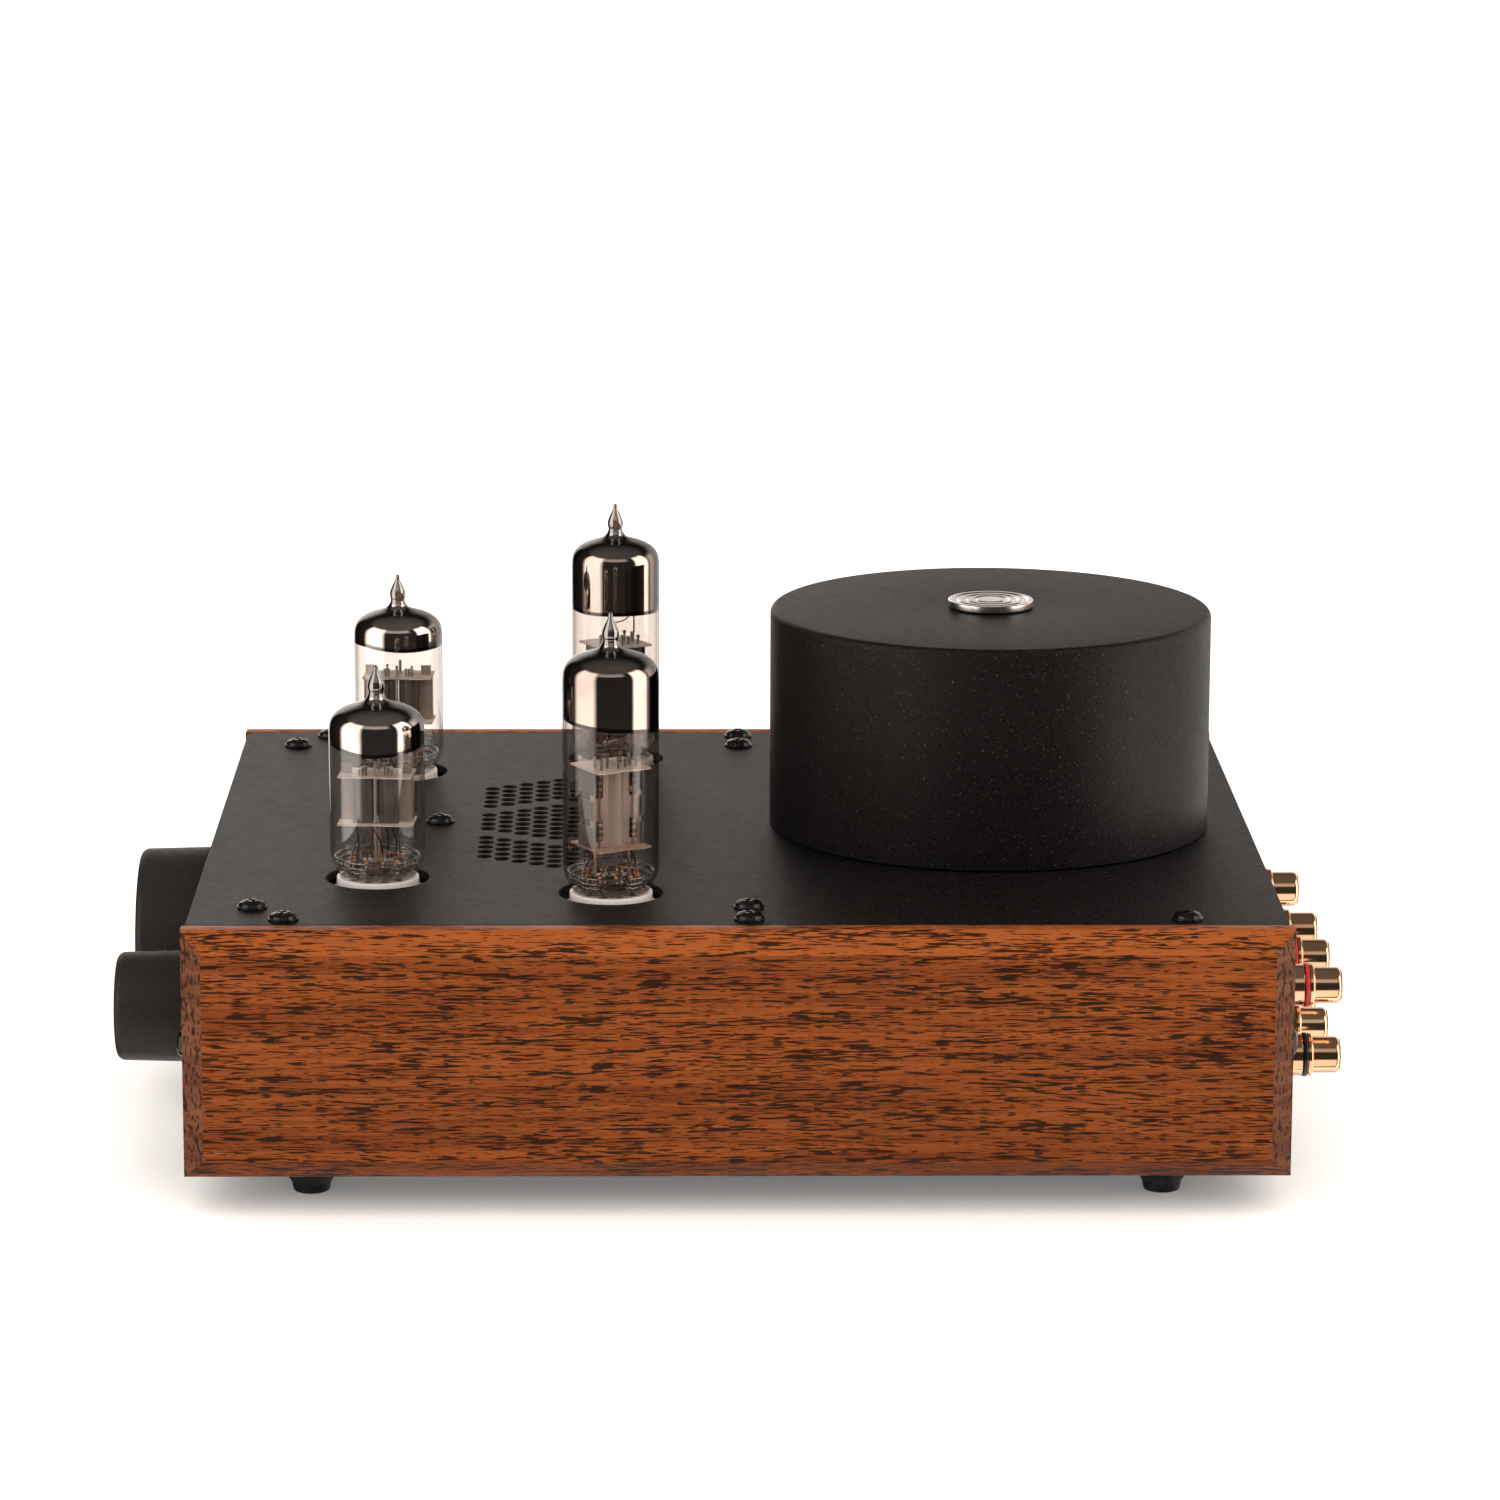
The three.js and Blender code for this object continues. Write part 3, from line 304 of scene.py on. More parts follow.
def speckled(name, dark, light, roughness, bump, gloss=0.5, fineness=1900, sparkle=0.0, clear=0.0):
    """A fine-grained finish: powder coat, moulded plastic, rubber or ceramic."""
    material, nodes, shader = new_material(name, Specular_IOR_Level=gloss, Transmission_Weight=clear)
    fine = nodes.grain((fineness, fineness, fineness), 2)
    tone = nodes.blend(nodes.rise(fine, 0.38, 0.66), (*dark, 1), (*light, 1))
    if sparkle:
        glints = nodes.rise(nodes.grain((2300, 2300, 2300), 1), 0.70, 0.76)
        tone = nodes.blend(nodes.math("MULTIPLY", glints, sparkle), tone, grey(0.22))
    nodes.give(shader.inputs["Base Color"], tone)
    vary_roughness(nodes, shader, *roughness)
    add_bump(nodes, shader, fine, bump)
    return material


OAK_TONES = ((0.112, 0.0250, 0.0049, 1), (0.196, 0.0465, 0.0089, 1), (0.252, 0.0660, 0.0134, 1),
             (0.078, 0.0180, 0.0038, 1))
# painted highlight: the lighter tone painted on upward faces for light from above
PAINTED_HIGHLIGHT_TONE = (0.330, 0.0850, 0.0170, 1)
PORE_TONE = (0.018, 0.0070, 0.0030, 1)
END_GRAIN_TONES = ((0.085, 0.028, 0.0120, 1), (0.160, 0.058, 0.0270, 1), (0.030, 0.012, 0.0060, 1))


def make_oak():
    """Oiled oak with its grain along Y: short dark pores in bands, and end grain on the ends."""
    material, nodes, shader = new_material("oak", Specular_IOR_Level=0.07)
    sway = nodes.math("MULTIPLY", nodes.grain((7, 8, 16), 1), 0.0040)
    shift = nodes.add("ShaderNodeCombineXYZ", Z=sway)
    where = nodes.add("ShaderNodeVectorMath", operation="ADD")
    nodes.give(where.inputs[0], nodes.add("ShaderNodeTexCoord").outputs["Object"])
    nodes.give(where.inputs[1], shift.outputs[0])
    where = where.outputs[0]
    broad = nodes.grain((9, 7, 60), 4, 0.55, wander=where)
    streaks = nodes.grain((60, 8, 480), 4, 0.6, wander=where)
    fibres = nodes.grain((300, 50, 3000), 2, 0.6, wander=where)
    clusters = nodes.grain((90, 34, 620), 2, wander=where)
    dashes = nodes.grain((2300, 155, 2300), 0.5, 0.5, wander=where)
    short_dashes = nodes.grain((3300, 330, 3300), 0.3, 0.5, wander=where)

    body = nodes.blend(nodes.rise(broad, 0.32, 0.68), OAK_TONES[0], OAK_TONES[1])
    body = nodes.blend(nodes.math("MULTIPLY", nodes.rise(streaks, 0.36, 0.66), 0.7), body, OAK_TONES[2])
    body = nodes.blend(nodes.math("MULTIPLY", nodes.rise(fibres, 0.46, 0.68), 0.6), body, OAK_TONES[3])

    crowd = nodes.math("MULTIPLY", nodes.rise(clusters, 0.38, 0.62), 0.115)
    pores = nodes.rise(nodes.math("ADD", dashes, crowd), 0.655, 0.682)
    short_pores = nodes.rise(nodes.math("ADD", short_dashes, crowd), 0.68, 0.705)
    pore = nodes.math("MAXIMUM", pores, nodes.math("MULTIPLY", short_pores, 0.85))

    # painted highlight: faces that turn upward, such as the top chamfer, are painted lighter as if lit from
    # above, and the end chamfers show end grain
    normal = nodes.add("ShaderNodeNewGeometry").outputs["True Normal"]
    tilt = nodes.add("ShaderNodeSeparateXYZ", Vector=normal)
    lit = nodes.math("MULTIPLY", nodes.rise(tilt.outputs["Z"], 0.4, 0.65), 0.55)
    body = nodes.blend(lit, body, PAINTED_HIGHLIGHT_TONE)
    face = nodes.blend(nodes.math("MULTIPLY", pore, 0.95), body, PORE_TONE)
    specks = nodes.grain((1100, 1100, 520), 2)
    rings = nodes.grain((50, 50, 420), 3, 0.6)
    ends = nodes.blend(nodes.rise(rings, 0.3, 0.7), END_GRAIN_TONES[0], END_GRAIN_TONES[1])
    ends = nodes.blend(nodes.rise(specks, 0.52, 0.60), ends, END_GRAIN_TONES[2])
    toward_end = nodes.rise(nodes.math("ABSOLUTE", tilt.outputs["Y"]), 0.45, 0.68)
    nodes.give(shader.inputs["Base Color"], nodes.blend(toward_end, face, ends))
    vary_roughness(nodes, shader, 0.36, 0.5, 90)
    depth = nodes.math("SUBTRACT", nodes.math("MULTIPLY", streaks, 0.25), pore)
    add_bump(nodes, shader, depth, 0.06)
    return material


def make_metal(name, colour, dark, roughness, brushed=(400, 400, 400), bump=0.004, Metallic=1.0):
    """Metal with faint stains of a darker tone and fine marks, finer along a brushed axis."""
    material, nodes, shader = new_material(name, Metallic=Metallic)
    stain = nodes.rise(nodes.grain((45, 45, 45), 4), 0.35, 0.7)
    nodes.give(shader.inputs["Base Color"], nodes.blend(stain, (*dark, 1), (*colour, 1)))
    vary_roughness(nodes, shader, *roughness)
    add_bump(nodes, shader, nodes.grain(brushed, 2), bump)
    return material


def make_glass(name, clear, rim, edge_power, mirror, roughness=0.015, waves=0.0, sheen=0.75):
    """Thin clear glass: see-through face on, mirror-like at a grazing angle, with painted shade that darkens
    its see-through tint there.
    """
    material = bpy.data.materials.new(name)
    material.use_nodes = True
    nodes = Nodes(material.node_tree)
    material.node_tree.nodes.clear()
    facing = nodes.add("ShaderNodeLayerWeight", Blend=0.5).outputs["Facing"]
    streak = nodes.grain((90, 90, 12), 2)
    tint = nodes.blend(nodes.rise(streak, 0.4, 0.8), (*clear, 1), (*(0.95 * part for part in clear), 1))
    # painted shade: the see-through tint is blended to the dark rim tone as the glass turns away from the
    # view
    tint = nodes.blend(nodes.math("POWER", facing, edge_power), tint, (*rim, 1))
    see_through = nodes.add("ShaderNodeBsdfTransparent", Color=tint)
    gloss = nodes.add("ShaderNodeBsdfGlossy", Color=grey(1.0), Roughness=roughness)
    if waves:
        ripple = nodes.grain((260, 260, 420), 2, 0.6, 1.5)
        add_bump(nodes, gloss, ripple, waves)
    share = nodes.math("MULTIPLY_ADD", nodes.math("POWER", facing, 5.0), sheen, mirror)
    nodes.finish("ShaderNodeOutputMaterial", share, see_through, gloss)
    return material


def make_getter():
    """The flashed mirror inside a dome, sepia face on, with painted shade that turns it dark brown where it
    curves away from the view.
    """
    material, nodes, shader = new_material("getter", Metallic=1.0)
    facing = nodes.add("ShaderNodeLayerWeight", Blend=0.5).outputs["Facing"]
    cloud = nodes.rise(nodes.grain((110, 110, 110), 3), 0.35, 0.7)
    silver = nodes.blend(cloud, (0.80, 0.715, 0.655, 1), (0.66, 0.58, 0.53, 1))
    # painted shade: the mirror's colour is blended to dark brown as the surface turns away from the view
    tone = nodes.blend(nodes.rise(facing, 0.20, 0.72), silver, (0.075, 0.050, 0.040, 1))
    shader.inputs["Specular Tint"].default_value = (0.22, 0.17, 0.14, 1)
    nodes.give(shader.inputs["Base Color"], tone)
    vary_roughness(nodes, shader, 0.03, 0.07)
    add_bump(nodes, shader, nodes.grain((60, 60, 60), 2), 0.02)
    return material


# Dark tone, light tone, roughness from and to, bump in millimetres, and what else differs
SPECKLED = {
    "powder_black": ((0.0042, 0.0034, 0.0030), (0.0105, 0.0088, 0.0080), (0.46, 0.51), 0.09,
                     {"sparkle": 0.35, "gloss": 0.18}),
    "cover_black": ((0.0034, 0.0026, 0.0023), (0.0070, 0.0056, 0.0050), (0.47, 0.52), 0.08,
                    {"sparkle": 0.35, "gloss": 0.20}),
    "knob_black": ((0.0155, 0.0122, 0.0107), (0.0235, 0.0188, 0.0166), (0.46, 0.56), 0.015,
                   {"fineness": 2600, "gloss": 0.22}),
    "screw_black": ((0.0030, 0.0028, 0.0027), (0.007, 0.0063, 0.0060), (0.14, 0.24), 0.006,
                    {"fineness": 1500, "gloss": 0.32}),
    "rubber": ((0.004, 0.004, 0.004), (0.008, 0.0075, 0.007), (0.6, 0.8), 0.03, {"gloss": 0.15}),
    "black_plastic": ((0.005, 0.0045, 0.0045), (0.010, 0.009, 0.009), (0.28, 0.42), 0.012,
                      {"gloss": 0.35}),
    "sleeve": ((0.010, 0.018, 0.06), (0.018, 0.03, 0.09), (0.2, 0.35), 0.004, {}),
    "ceramic": ((0.62, 0.575, 0.53), (0.68, 0.64, 0.60), (0.2, 0.34), 0.006, {"gloss": 0.3}),
    "board": ((0.010, 0.055, 0.020), (0.016, 0.075, 0.028), (0.3, 0.45), 0.006, {"fineness": 500}),
    "winding": ((0.42, 0.24, 0.035), (0.55, 0.34, 0.06), (0.25, 0.4), 0.05, {"fineness": 260}),
    "mica": ((0.58, 0.50, 0.44), (0.76, 0.68, 0.61), (0.3, 0.45), 0.02, {"fineness": 900}),
    "mica_amber": ((0.30, 0.18, 0.12), (0.45, 0.30, 0.22), (0.3, 0.45), 0.02, {"fineness": 900}),
    "bead": ((0.42, 0.16, 0.06), (0.62, 0.30, 0.14), (0.15, 0.3), 0.01, {"fineness": 900}),
    "ring_red": ((0.46, 0.010, 0.010), (0.55, 0.014, 0.013), (0.3, 0.4), 0.004, {}),
    "ring_black": ((0.005, 0.0045, 0.0045), (0.010, 0.009, 0.008), (0.3, 0.4), 0.004, {}),
    "white_plastic": ((0.50, 0.48, 0.46), (0.58, 0.56, 0.54), (0.3, 0.4), 0.004, {}),
    "lamp_lens": ((0.40, 0.45, 0.52), (0.5, 0.56, 0.62), (0.08, 0.16), 0.004, {"clear": 0.4}),
}

# Colour, stain, roughness from and to, and what else differs
ELECTRODE_MARKS = {"brushed": (900, 900, 90), "bump": 0.01, "Metallic": 0.55}
METALS = {
    "gold": ((0.96, 0.62, 0.39), (0.86, 0.51, 0.30), (0.09, 0.15), {}),
    "nickel": ((0.90, 0.84, 0.79), (0.78, 0.72, 0.68), (0.20, 0.30),
               {"brushed": (500, 500, 2200), "bump": 0.006}),
    "zinc": ((0.62, 0.62, 0.60), (0.45, 0.45, 0.44), (0.28, 0.42), {}),
    "copper": ((0.62, 0.38, 0.27), (0.30, 0.16, 0.10), (0.3, 0.45), {}),
    "wire": ((0.62, 0.56, 0.51), (0.25, 0.21, 0.19), (0.25, 0.4), {}),
    "lead": ((0.24, 0.20, 0.18), (0.09, 0.07, 0.06), (0.3, 0.45), {}),
    "electrode": ((0.50, 0.415, 0.365), (0.36, 0.295, 0.26), (0.46, 0.58), ELECTRODE_MARKS),
    "dark_electrode": ((0.22, 0.19, 0.175), (0.13, 0.112, 0.103), (0.46, 0.58), ELECTRODE_MARKS),
    "tan_electrode": ((0.52, 0.43, 0.375), (0.40, 0.32, 0.28), (0.4, 0.52), {"Metallic": 0.5}),
    "getter_rim": ((0.085, 0.055, 0.042), (0.045, 0.028, 0.021), (0.10, 0.2), {}),
}

# Tint face on, painted shade tint at the edge, how narrow that painted edge is, mirror share face on, and
# what else differs
GLASSES = {
    "tube_glass": ((0.79, 0.755, 0.73), (0.10, 0.085, 0.075), 4.5, 0.05, {}),
    "driver_glass": ((0.90, 0.88, 0.862), (0.12, 0.105, 0.095), 4.5, 0.085, {}),
    "inner_glass": ((0.98, 0.975, 0.97), (0.70, 0.67, 0.65), 5.0, 0.008, {"sheen": 0.2}),
    "tip_glass": ((0.34, 0.27, 0.23), (0.02, 0.014, 0.011), 0.9, 0.26, {"roughness": 0.04}),
    "glass_button": ((0.80, 0.74, 0.70), (0.07, 0.055, 0.045), 1.8, 0.20, {"roughness": 0.05, "waves": 0.4}),
}

MATERIALS = {"oak": make_oak(), "getter": make_getter()}
for maker, table in ((speckled, SPECKLED), (make_metal, METALS), (make_glass, GLASSES)):
    for name, (*usual, others) in table.items():
        MATERIALS[name] = maker(name, *usual, **others)


# ---- Shape helpers ----

NEARLY_STRAIGHT = 1.55              # radians, half the angle between a corner's two sides


def rounded(corners, steps=5):
    """Outline through (x, y, radius) corners, with each corner that has a radius turned into an arc."""
    points = []
    for i, (x, y, radius) in enumerate(corners):
        corner = Vector((x, y))
        before = (Vector(corners[i - 1][:2]) - corner).normalized()
        after = (Vector(corners[(i + 1) % len(corners)][:2]) - corner).normalized()
        half = before.angle(after, 0) / 2
        if radius <= 0 or half > NEARLY_STRAIGHT:
            points.append(corner)
            continue
        middle = corner + (before + after).normalized() * (radius / math.sin(half))
        start = corner + before * (radius / math.tan(half)) - middle
        end = corner + after * (radius / math.tan(half)) - middle
        sweep = start.angle_signed(end)
        for step in range(steps + 1):
            arm = start.copy()
            arm.rotate(Matrix.Rotation(-sweep * step / steps, 2))
            points.append(middle + arm)
    return points


def turns(count):
    """Angles that divide a full turn into equal steps."""
    return [2 * math.pi * i / count for i in range(count)]


def closed(outline):
    return [*outline, outline[0]]


def blended(points, steps, weights_at):
    """A curve along the points. Each place on it blends four of them, by weights that vary along a span."""
    points = [Vector(point) for point in points]
    ends = [2 * points[0] - points[1]] + points + [2 * points[-1] - points[-2]]
    curve = []
    for i in range(len(ends) - 3):
        for step in range(steps):
            parts = [weight * point for weight, point in zip(weights_at(step / steps), ends[i:])]
            curve.append(parts[0] + parts[1] + parts[2] + parts[3])
    return curve + [points[-1]]


def through(points, steps=5):
    """A smooth curve through the points."""
    return blended(points, steps, lambda t: (
        (2 * t * t - t - t ** 3) / 2, (2 - 5 * t * t + 3 * t ** 3) / 2,
        (t + 4 * t * t - 3 * t ** 3) / 2, (t ** 3 - t * t) / 2))


def rounded_through(points):
    """A smoother curve that keeps to the first and last points and near the others."""
    return blended(points, 8, lambda t: (
        (1 - t) ** 3 / 6, (3 * t ** 3 - 6 * t * t + 4) / 6,
        (3 * t + 3 * t * t - 3 * t ** 3 + 1) / 6, t ** 3 / 6))


SHARP = math.radians(40)


class Shape:
    """Gathers solids into one mesh, in millimetres about a place, each with its own material."""

    def __init__(self):
        self.mesh = bmesh.new()
        self.materials = []

    def paint(self, faces, material):
        if material not in self.materials:
            self.materials.append(material)
        for face in faces:
            face.material_index = self.materials.index(material)

    def loft(self, rows, material, loop=False):
        """Joins rows of points. A row of one point is a tip, and the others have equal counts."""
        rows = [[self.mesh.verts.new(point) for point in row] for row in rows]
        faces = []
        for low, high in zip(rows, rows[1:] + rows[:1] if loop else rows[1:]):
            for i in range(max(len(low), len(high))):
                corners = (low[i % len(low)], low[(i + 1) % len(low)],
                           high[(i + 1) % len(high)], high[i % len(high)])
                corners = tuple(dict.fromkeys(corners))
                if len(corners) > 2:
                    faces.append(self.mesh.faces.new(corners))
        self.paint(faces, material)
        return rows

    def turned(self, profile, material, segments=72, at=(0, 0, 0)):
        """Turned about Z from (radius, height) points, which end on the axis or where they began."""
        profile = [tuple(point) for point in profile]
        loop = (Vector(profile[0]) - Vector(profile[-1])).length < 1e-6
        rows = []
        for radius, height in profile[:-1] if loop else profile:
            count = segments if radius > 1e-4 else 1
            rows.append([Vector(at) + Vector((radius * math.cos(a), radius * math.sin(a), height))
                         for a in turns(count)])
        return self.loft(rows, material, loop)

    def prism(self, outline, low, high, material, edge=0.0):
        """An outline of (x, y) points raised from low to high, with its edges rounded a little."""
        rows = self.loft([[Vector((*point[:2], z)) for point in outline] for z in (low, high)], material)
        caps = [self.mesh.faces.new(rows[0][::-1]), self.mesh.faces.new(rows[1])]
        self.paint(caps, material)
        if edge:
            edges = {e for face in caps for e in face.edges}
            edges |= {e for v in rows[0] for e in v.link_edges if e.other_vert(v) in rows[1]
                      and e.calc_face_angle(0) > SHARP}
            bmesh.ops.bevel(self.mesh, geom=list(edges), offset=edge, segments=2, affect="EDGES",
                            profile=0.5, clamp_overlap=True)

    def block(self, corner, opposite, material, edge=0.0):
        (x0, x1), (y0, y1), (z0, z1) = (sorted(pair) for pair in zip(corner, opposite))
        self.prism([(x0, y0), (x1, y0), (x1, y1), (x0, y1)], z0, z1, material, edge)

    def ball(self, middle, radius, height, material, segments=16):
        turns = [math.pi * i / 8 for i in range(9)]
        profile = [(radius * math.sin(t), -height * math.cos(t)) for t in turns]
        self.turned(profile, material, segments, middle)

    def wire(self, points, radius, material, sides=10, steps=5):
        """A round wire along a smooth curve through the points."""
        line = through(points, steps)
        rows = [[line[0]]]
        side = None
        for i, point in enumerate(line):
            ahead = (line[min(i + 1, len(line) - 1)] - line[max(i - 1, 0)]).normalized()
            side = side or ahead.orthogonal()
            side = (side - ahead * side.dot(ahead)).normalized()
            other = ahead.cross(side)
            rows.append([point + radius * (math.cos(a) * side + math.sin(a) * other) for a in turns(sides)])
        rows.append([line[-1]])
        self.loft(rows, material)

    def rod(self, x, y, low, high, radius, material, sides=10):
        self.wire([(x, y, low), (x, y, high)], radius, material, sides, 1)

    def to_mesh(self, name, where, angle=35):
        bmesh.ops.recalc_face_normals(self.mesh, faces=self.mesh.faces)
        mesh = bpy.data.meshes.new(name)
        self.mesh.to_mesh(mesh)
        self.mesh.free()
        mesh.transform(where)
        for material in self.materials:
            mesh.materials.append(MATERIALS[material])
        smooth(mesh, angle)
        return mesh


def smooth(mesh, angle=35):
    mesh.shade_smooth()
    mesh.set_sharp_from_angle(angle=math.radians(angle))


def carved(mesh, cutter):
    """The mesh with the cutter's volume taken out of it."""
    body = bpy.data.objects.new("carving", mesh)
    tool = bpy.data.objects.new("cutter", cutter)
    for piece in (body, tool):
        bpy.context.collection.objects.link(piece)
    modifier = body.modifiers.new("carve", "BOOLEAN")
    modifier.operation, modifier.solver, modifier.object = "DIFFERENCE", "EXACT", tool
    modifier.material_mode = "TRANSFER"
    result = bpy.data.meshes.new_from_object(body.evaluated_get(bpy.context.evaluated_depsgraph_get()))
    for piece in (body, tool):
        bpy.data.objects.remove(piece)
    smooth(result)
    return result


def add_piece(name, mesh, body, slot, *nodes):
    piece = bpy.data.objects.new(name, mesh)
    bpy.context.collection.objects.link(piece)
    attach(piece, body)
    if nodes:
        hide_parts(*nodes)


def stand_for(node, shape, where, angle=35):
    """A finished shape in place of a CAD node, on the same body."""
    name = f"{node}_fine"
    add_piece(name, shape.to_mesh(name, where, angle), BODY_OF[node], SLOT_OF[node], node)


def soften(node, width):
    """Puts a copy of a CAD node's mesh, with its edges rounded, in place of the node."""
    shape = bmesh.new()
    shape.from_mesh(frame["nodes"][node].data)
    bmesh.ops.remove_doubles(shape, verts=shape.verts, dist=1e-6)
    bmesh.ops.dissolve_limit(shape, angle_limit=math.radians(2), verts=shape.verts, edges=shape.edges)
    edges = [e for e in shape.edges if len(e.link_faces) == 2 and e.calc_face_angle() > SHARP]
    bmesh.ops.bevel(shape, geom=edges, offset=width * MM, segments=2, affect="EDGES",
                    profile=0.5, clamp_overlap=True)
    mesh = bpy.data.meshes.new(f"{node}_soft")
    shape.to_mesh(mesh)
    shape.free()
    mesh.materials.clear()
    mesh.materials.append(MATERIALS[SLOT_OF[node]])
    smooth(mesh)
    add_piece(f"{node}_soft", mesh, BODY_OF[node], SLOT_OF[node], node)


# ---- Chassis ----

VENT_COLUMNS = 9
VENT_SHORT_COLUMN = 16
VENT_OUTER_GROUP = 5
VENT_PITCH_X, VENT_PITCH_Y = 4.67, 4.045
VENT_RADIUS = 1.65
VENT_FROM_FRONT = 64.4
STANDOFF_FROM_CENTRE = 83.8
STANDOFF_ROWS = (14.4, 124.4)       # from the oak's front end
MIDDLE_STANDOFF_ROW = 53
PLATE_EDGE = 0.25
PLATE_CORNER = 1.5

TUBES = [(kind, side) for kind in ("driver", "power") for side in ("left", "right")]
SCREW_ROWS = ("front", "middle", "rear")
STANDOFFS = [(side * STANDOFF_FROM_CENTRE * MM, OAK_LOW.y + row * MM)
             for side in (-1, 1) for row in STANDOFF_ROWS]
STANDOFFS.append((0, OAK_LOW.y + MIDDLE_STANDOFF_ROW * MM))


def vent_centres():
    """Staggered columns that grow by one place up to the middle one, then shrink again."""
    middle = (VENT_COLUMNS - 1) / 2
    for column in range(VENT_COLUMNS):
        places = int(VENT_SHORT_COLUMN + middle - abs(column - middle))
        y = OAK_LOW.y + (VENT_FROM_FRONT + column * VENT_PITCH_Y) * MM
        for spot in range(places):
            if min(spot, places - 1 - spot) != VENT_OUTER_GROUP:
                yield (spot - (places - 1) / 2) * VENT_PITCH_X * MM, y


def circle(x, y, radius, count=28):
    return [Vector((x + radius * math.cos(a), y + radius * math.sin(a))) for a in turns(count)]


def sheet_metal(name, outline, holes, low, high, edge):
    """A flat sheet with holes, all its edges broken by a small chamfer. Points are in metres."""
    curve = bpy.data.curves.new(name, "CURVE")
    curve.dimensions = "2D"
    curve.fill_mode = "BOTH"
    curve.extrude = (high - low) / 2 - edge
    curve.bevel_depth = edge
    curve.bevel_resolution = 1
    curve.offset = -edge
    for ring in [outline, *holes]:
        spline = curve.splines.new("POLY")
        spline.points.add(len(ring) - 1)
        for point, (x, y) in zip(spline.points, ring):
            point.co = (x, y, 0, 1)
        spline.use_cyclic_u = True
    maker = bpy.data.objects.new(name, curve)
    bpy.context.collection.objects.link(maker)
    mesh = bpy.data.meshes.new_from_object(maker.evaluated_get(bpy.context.evaluated_depsgraph_get()))
    bpy.data.objects.remove(maker)
    mesh.transform(Matrix.Translation((0, 0, (low + high) / 2)))
    smooth(mesh, 30)
    return mesh


def make_top_plate():
    corners = [(PLATE_LOW.x, PLATE_LOW.y), (PLATE_HIGH.x, PLATE_LOW.y),
               (PLATE_HIGH.x, PLATE_HIGH.y), (PLATE_LOW.x, PLATE_HIGH.y)]
    outline = rounded([(x, y, PLATE_CORNER * MM) for x, y in corners])
    holes = [circle(x, y, VENT_RADIUS * MM) for x, y in vent_centres()]
    for kind, side in TUBES:
        glass = centre(f"glass_{kind}_{side}")
        holes.append(circle(glass.x, glass.y, TUBE_HOLE_RADIUS * MM, 64))
    mesh = sheet_metal("top_plate_fine", outline, holes, PLATE_LOW.z, PLATE_HIGH.z, PLATE_EDGE * MM)
    mesh.materials.append(MATERIALS["powder_black"])
    add_piece("top_plate_fine", mesh, "chassis", "powder_black", "top_plate")


def make_foot(node):
    """A tapered rubber foot with a dimple over its screw."""
    _, tall = round_size(node)
    shape = Shape()
    shape.turned(rounded([
        (0, 1.0, 0), (2.6, 1.0, 0.3), (2.9, 0, 0.3), (4.0, 0, 0.5), (4.5, 2.2, 0.6), (5.6, 3.8, 0.6),
        (7, tall - 1.6, 0.3), (7, tall, 0.3), (0, tall, 0),
    ]), "rubber")
    stand_for(node, shape, under(node))


def screw_mesh():
    """A glossy pan-head screw with a cross recess and a thin flange, standing on Z = 0."""
    radius, height, shank = 3.4, 1.8, 6.0
    head = Shape()
    head.turned(rounded([
        (0, -shank, 0), (1.35, -shank, 0.3), (1.35, 0.02, 0), (radius, 0.02, 0.1), (radius, 0.45, 0.15),
        (radius * 0.92, 0.52, 0.1), (radius * 0.8, height * 0.75, 0.8), (radius * 0.42, height, 0.9),
        (0, height, 0),
    ]), "screw_black", 48)
    cross = Shape()
    arm, half = radius * 0.52, 0.42
    plus = [(half, half), (half, arm), (-half, arm), (-half, half), (-arm, half), (-arm, -half),
            (-half, -half), (-half, -arm), (half, -arm), (half, -half), (arm, -half), (arm, half)]
    narrowing, depth = 0.55, 1.2
    bottom = [Vector((x * narrowing, y * narrowing, height - depth)) for x, y in plus]
    top = [Vector((x, y, height + 0.5)) for x, y in plus]
    rows = cross.loft([bottom, top], "screw_black")
    cross.paint([cross.mesh.faces.new(rows[0][::-1]), cross.mesh.faces.new(rows[1])], "screw_black")
    return carved(head.to_mesh("pan_head_screw", Matrix()), cross.to_mesh("cross", Matrix()))


def make_screws():
    template = screw_mesh()

    def put(name, where, *nodes):
        mesh = template.copy()
        mesh.transform(where)
        add_piece(name, mesh, "chassis", "screw_black", *nodes)

    for i, row in enumerate(SCREW_ROWS):
        for j, side in enumerate(("left", "right")):
            node = f"top_screw_{row}_{side}"
            put(f"{node}_fine", on_plate(node, 37 * i + 61 * j + 12), node)
    for i, (x, y) in enumerate(STANDOFFS):
        put(f"standoff_screw_{i + 1}", place(x, y, PLATE_TOP, UPWARD, 23 + 47 * i))
    across = centre("top_screw_front_right").x
    height = (OAK_LOW.z + OAK_HIGH.z) / 2
    for number, side in ((1, -1), (2, 1)):
        put(f"front_screw_{number}", place(side * across, FRONT_FACE, height, FORWARD, 20 + 30 * side))
        put(f"rear_screw_{number}", place(side * across, REAR_FACE, height, REARWARD, 70 + 25 * side))
    bpy.data.meshes.remove(template)


# ---- Transformer ----

COVER_WALL = 1.5
COVER_HOLE = 5
BADGE_RINGS = (7.6, 5.4, 3.2)
TOROID_HOLE = 15


def make_cover():
    radius, tall = round_size("transformer_cover")
    profile = rounded([
        (radius - COVER_WALL, 0, 0.2), (radius, 0, 0.3), (radius, tall, 1.5), (COVER_HOLE, tall, 0.1),
        (COVER_HOLE, tall - COVER_WALL, 0.1), (radius - COVER_WALL, tall - COVER_WALL, 1.0),
    ], 6)
    shape = Shape()
    shape.turned(closed(profile), "cover_black", 160)
    stand_for("transformer_cover", shape, under("transformer_cover"))


